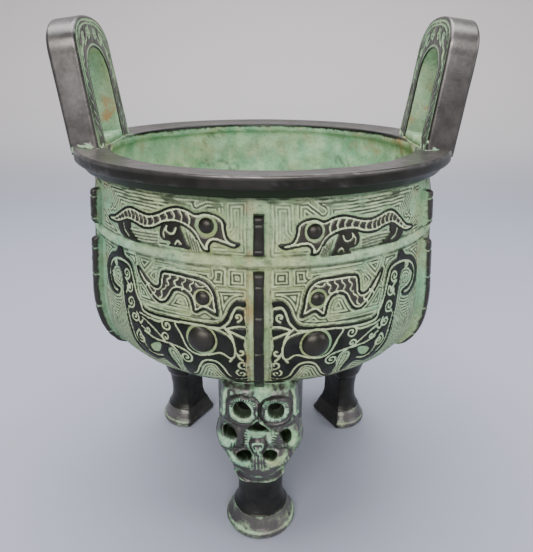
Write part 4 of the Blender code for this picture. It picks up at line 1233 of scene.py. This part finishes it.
def patinated_bronze():
    """Dark worn bronze over pale green patina, mixed by the values stored on each point."""
    nodes = Nodes("patinated_bronze")
    maths, span, mix, noise = nodes.maths, nodes.span, nodes.mix, nodes.noise
    names = ("wear", "polish_and_sheen", "hue", "rust", "brown", "deep", "chalk")
    marks = [nodes.add("ShaderNodeAttribute", attribute_name=name).outputs["Fac"] for name in names]
    wear, polish_and_sheen, hue, rust, brown, deep, chalk = marks
    broad = noise(45.0, 3.0)
    middle = noise(160.0)
    fine = noise(900.0, 3.0, 0.7)
    # patina: mint to yellow-green, greyer in patches and darker in pits
    mint = mix(span(middle, 0.35, 0.7), (0.17, 0.37, 0.21), (0.31, 0.54, 0.35))
    olive = mix(span(middle, 0.35, 0.7), (0.25, 0.31, 0.12), (0.44, 0.47, 0.23))
    patina = mix(maths("ADD", hue, span(broad, 0.35, 0.65, -0.3, 0.3), clamp=True), mint, olive)
    dirt = (
        (noise(75.0, 5.0, 0.7), 0.50, 0.70, 0.62, (0.15, 0.20, 0.12)),
        (fine, 0.56, 0.74, 0.66, (0.07, 0.09, 0.05)),
        (noise(420.0, 4.0, 0.75), 0.55, 0.72, 0.5, (0.10, 0.13, 0.07)),
        (noise(2100.0, 2.0), 0.54, 0.70, 0.45, (0.07, 0.11, 0.05)),
    )
    for spots, low, high, most, colour in dirt:
        patina = mix(span(spots, low, high, 0.0, most), patina, colour)
    patina = mix(maths("MULTIPLY", chalk, span(fine, 0.35, 0.7, 1.0, 0.6)), patina, (0.69, 0.76, 0.48))
    stain = maths("MULTIPLY", rust, span(noise(110.0, 5.0, 0.65), 0.50, 0.68), clamp=True)
    patina = mix(stain, patina, (0.42, 0.19, 0.07))
    # metal: near black, brown on the worn figures, and paler grey where polished and where sheen and
    # highlights are painted
    metal = mix(span(middle, 0.3, 0.7), (0.011, 0.012, 0.010), (0.032, 0.031, 0.027))
    metal = mix(maths("MULTIPLY", brown, 0.85), metal, (0.057, 0.049, 0.038))
    sheen_grey = mix(span(broad, 0.4, 0.6), (0.145, 0.132, 0.125), (0.22, 0.20, 0.188))
    metal = mix(maths("MULTIPLY", polish_and_sheen, span(fine, 0.35, 0.6, 0.8, 1.0), clamp=True), metal, sheen_grey)
    share = maths("ADD", wear, span(fine, 0.3, 0.7, -0.10, 0.10))
    share = maths("ADD", share, span(middle, 0.3, 0.7, -0.16, 0.16))
    share = span(share, 0.24, 0.80)
    # near-black green where the marks call for it: real veins, pits, scratches and stains, and painted shade
    # in recesses, holes, creases and under the lip
    colour = mix(deep, mix(share, patina, metal), (0.020, 0.032, 0.014))
    polish = maths("ADD", span(middle, 0.3, 0.7, 0.33, 0.46), maths("MULTIPLY", polish_and_sheen, -0.08))
    dull = maths("MULTIPLY", maths("SUBTRACT", 1.0, share), 0.42)
    pits = maths("ADD", fine, maths("MULTIPLY", middle, 1.4))
    pits = maths("MULTIPLY", pits, maths("SUBTRACT", 1.0, maths("MULTIPLY", share, 0.85)))
    bump = nodes.add("ShaderNodeBump")
    for value, name in ((0.35, "Strength"), (0.0004, "Distance"), (pits, "Height")):
        nodes.put(value, bump.inputs[name])
    nodes.put(colour, nodes.shader.inputs["Base Color"])
    nodes.put(maths("MULTIPLY", share, 0.8), nodes.shader.inputs["Metallic"])
    nodes.put(maths("ADD", polish, dull, clamp=True), nodes.shader.inputs["Roughness"])
    nodes.put(bump.outputs["Normal"], nodes.shader.inputs["Normal"])
    return nodes.material


# Stage

CAMERA_PLACE = (3.28, -183.43, 148.74)
CAMERA_YAW = math.radians(0.6)
CAMERA_PITCH = math.radians(22.12)
CAMERA_ROLL = math.radians(0.21)
CAMERA_LENS = 35.41
FLOOR_COLOUR = (0.33, 0.34, 0.40)
WALL_COLOUR = (0.79, 0.73, 0.71)
FAR_COLOUR = (0.93, 0.93, 0.93)


def pale_floor():
    """One plain colour on the floor, turning into another up the wall behind, and paler far away: painted
    light where the lamps' light falls off.
    """
    nodes = Nodes("pale_floor")
    parts = nodes.add("ShaderNodeSeparateXYZ")
    nodes.put(nodes.coords, parts.inputs[0])
    nearer = nodes.maths("MULTIPLY", parts.outputs["Y"], -1.0)
    away = nodes.maths("MAXIMUM", nodes.maths("ABSOLUTE", parts.outputs["X"]), nearer)
    colour = nodes.mix(nodes.span(parts.outputs["Y"], 0.35, 0.95), FLOOR_COLOUR, WALL_COLOUR)
    colour = nodes.mix(nodes.span(away, 0.3, 1.7), colour, FAR_COLOUR)
    nodes.put(colour, nodes.shader.inputs["Base Color"])
    nodes.put(0.85, nodes.shader.inputs["Roughness"])
    return nodes.material


def make_camera():
    data = bpy.data.cameras.new("camera")
    data.lens = CAMERA_LENS
    data.sensor_width = 36.0
    data.clip_start = 0.01
    data.clip_end = 20.0
    camera = bpy.data.objects.new("camera", data)
    camera.matrix_world = Matrix.Translation(Vector(CAMERA_PLACE) * MM)
    for angle, axis in ((CAMERA_YAW, "Z"), (math.pi / 2.0 - CAMERA_PITCH, "X"), (CAMERA_ROLL, "Z")):
        camera.matrix_world = camera.matrix_world @ Matrix.Rotation(angle, 4, axis)
    bpy.context.scene.collection.objects.link(camera)
    bpy.context.scene.camera = camera


def make_light(name, place, aim, size, power, colour=(1.0, 1.0, 1.0)):
    data = bpy.data.lights.new(name, "AREA")
    data.shape = "RECTANGLE"
    data.size, data.size_y = size
    data.energy = power
    data.color = colour
    light = bpy.data.objects.new(name, data)
    light.location = place
    light.rotation_euler = (Vector(aim) - Vector(place)).to_track_quat("-Z", "Y").to_euler()
    bpy.context.scene.collection.objects.link(light)


def make_stage():
    """A plain pale floor that sweeps up behind, and soft light from above."""
    curve = [(-4.0, 0.0), (0.55, 0.0)]
    for turn in np.radians(np.linspace(0.0, 90.0, 13)):
        curve.append((0.55 + 0.5 * math.sin(turn), 0.5 - 0.5 * math.cos(turn)))
    curve.append((1.05, 2.5))
    points = [(x, y, z) for y, z in curve for x in (-4.0, 4.0)]
    mesh = bpy.data.meshes.new("floor")
    mesh.from_pydata(points, [], grid_faces(len(curve), 2, flip=True))
    mesh.polygons.foreach_set("use_smooth", [True] * len(mesh.polygons))
    mesh.materials.append(pale_floor())
    floor = bpy.data.objects.new("floor", mesh)
    bpy.context.scene.collection.objects.link(floor)
    world = bpy.data.worlds.new("studio")
    world.use_nodes = True
    world.node_tree.nodes["Background"].inputs["Color"].default_value = (0.80, 0.83, 0.90, 1.0)
    world.node_tree.nodes["Background"].inputs["Strength"].default_value = 0.32
    bpy.context.scene.world = world
    make_light("overhead", (-0.05, 0.10, 0.75), (0.0, 0.0, 0.05), (0.8, 0.6), 12.0, (0.93, 0.96, 1.0))
    make_light("front", (-0.10, -0.80, 0.55), (0.0, 0.0, 0.07), (0.8, 0.4), 9.2)
    make_light("window", (0.75, -0.25, 0.40), (0.0, 0.0, 0.1), (0.4, 0.5), 2.5, (0.95, 0.98, 1.0))


make_camera()
BRONZE = patinated_bronze()
make_bowl()
make_body()
make_eyes()
make_flanges()
make_handles()
make_legs()
make_masks()
make_stage()
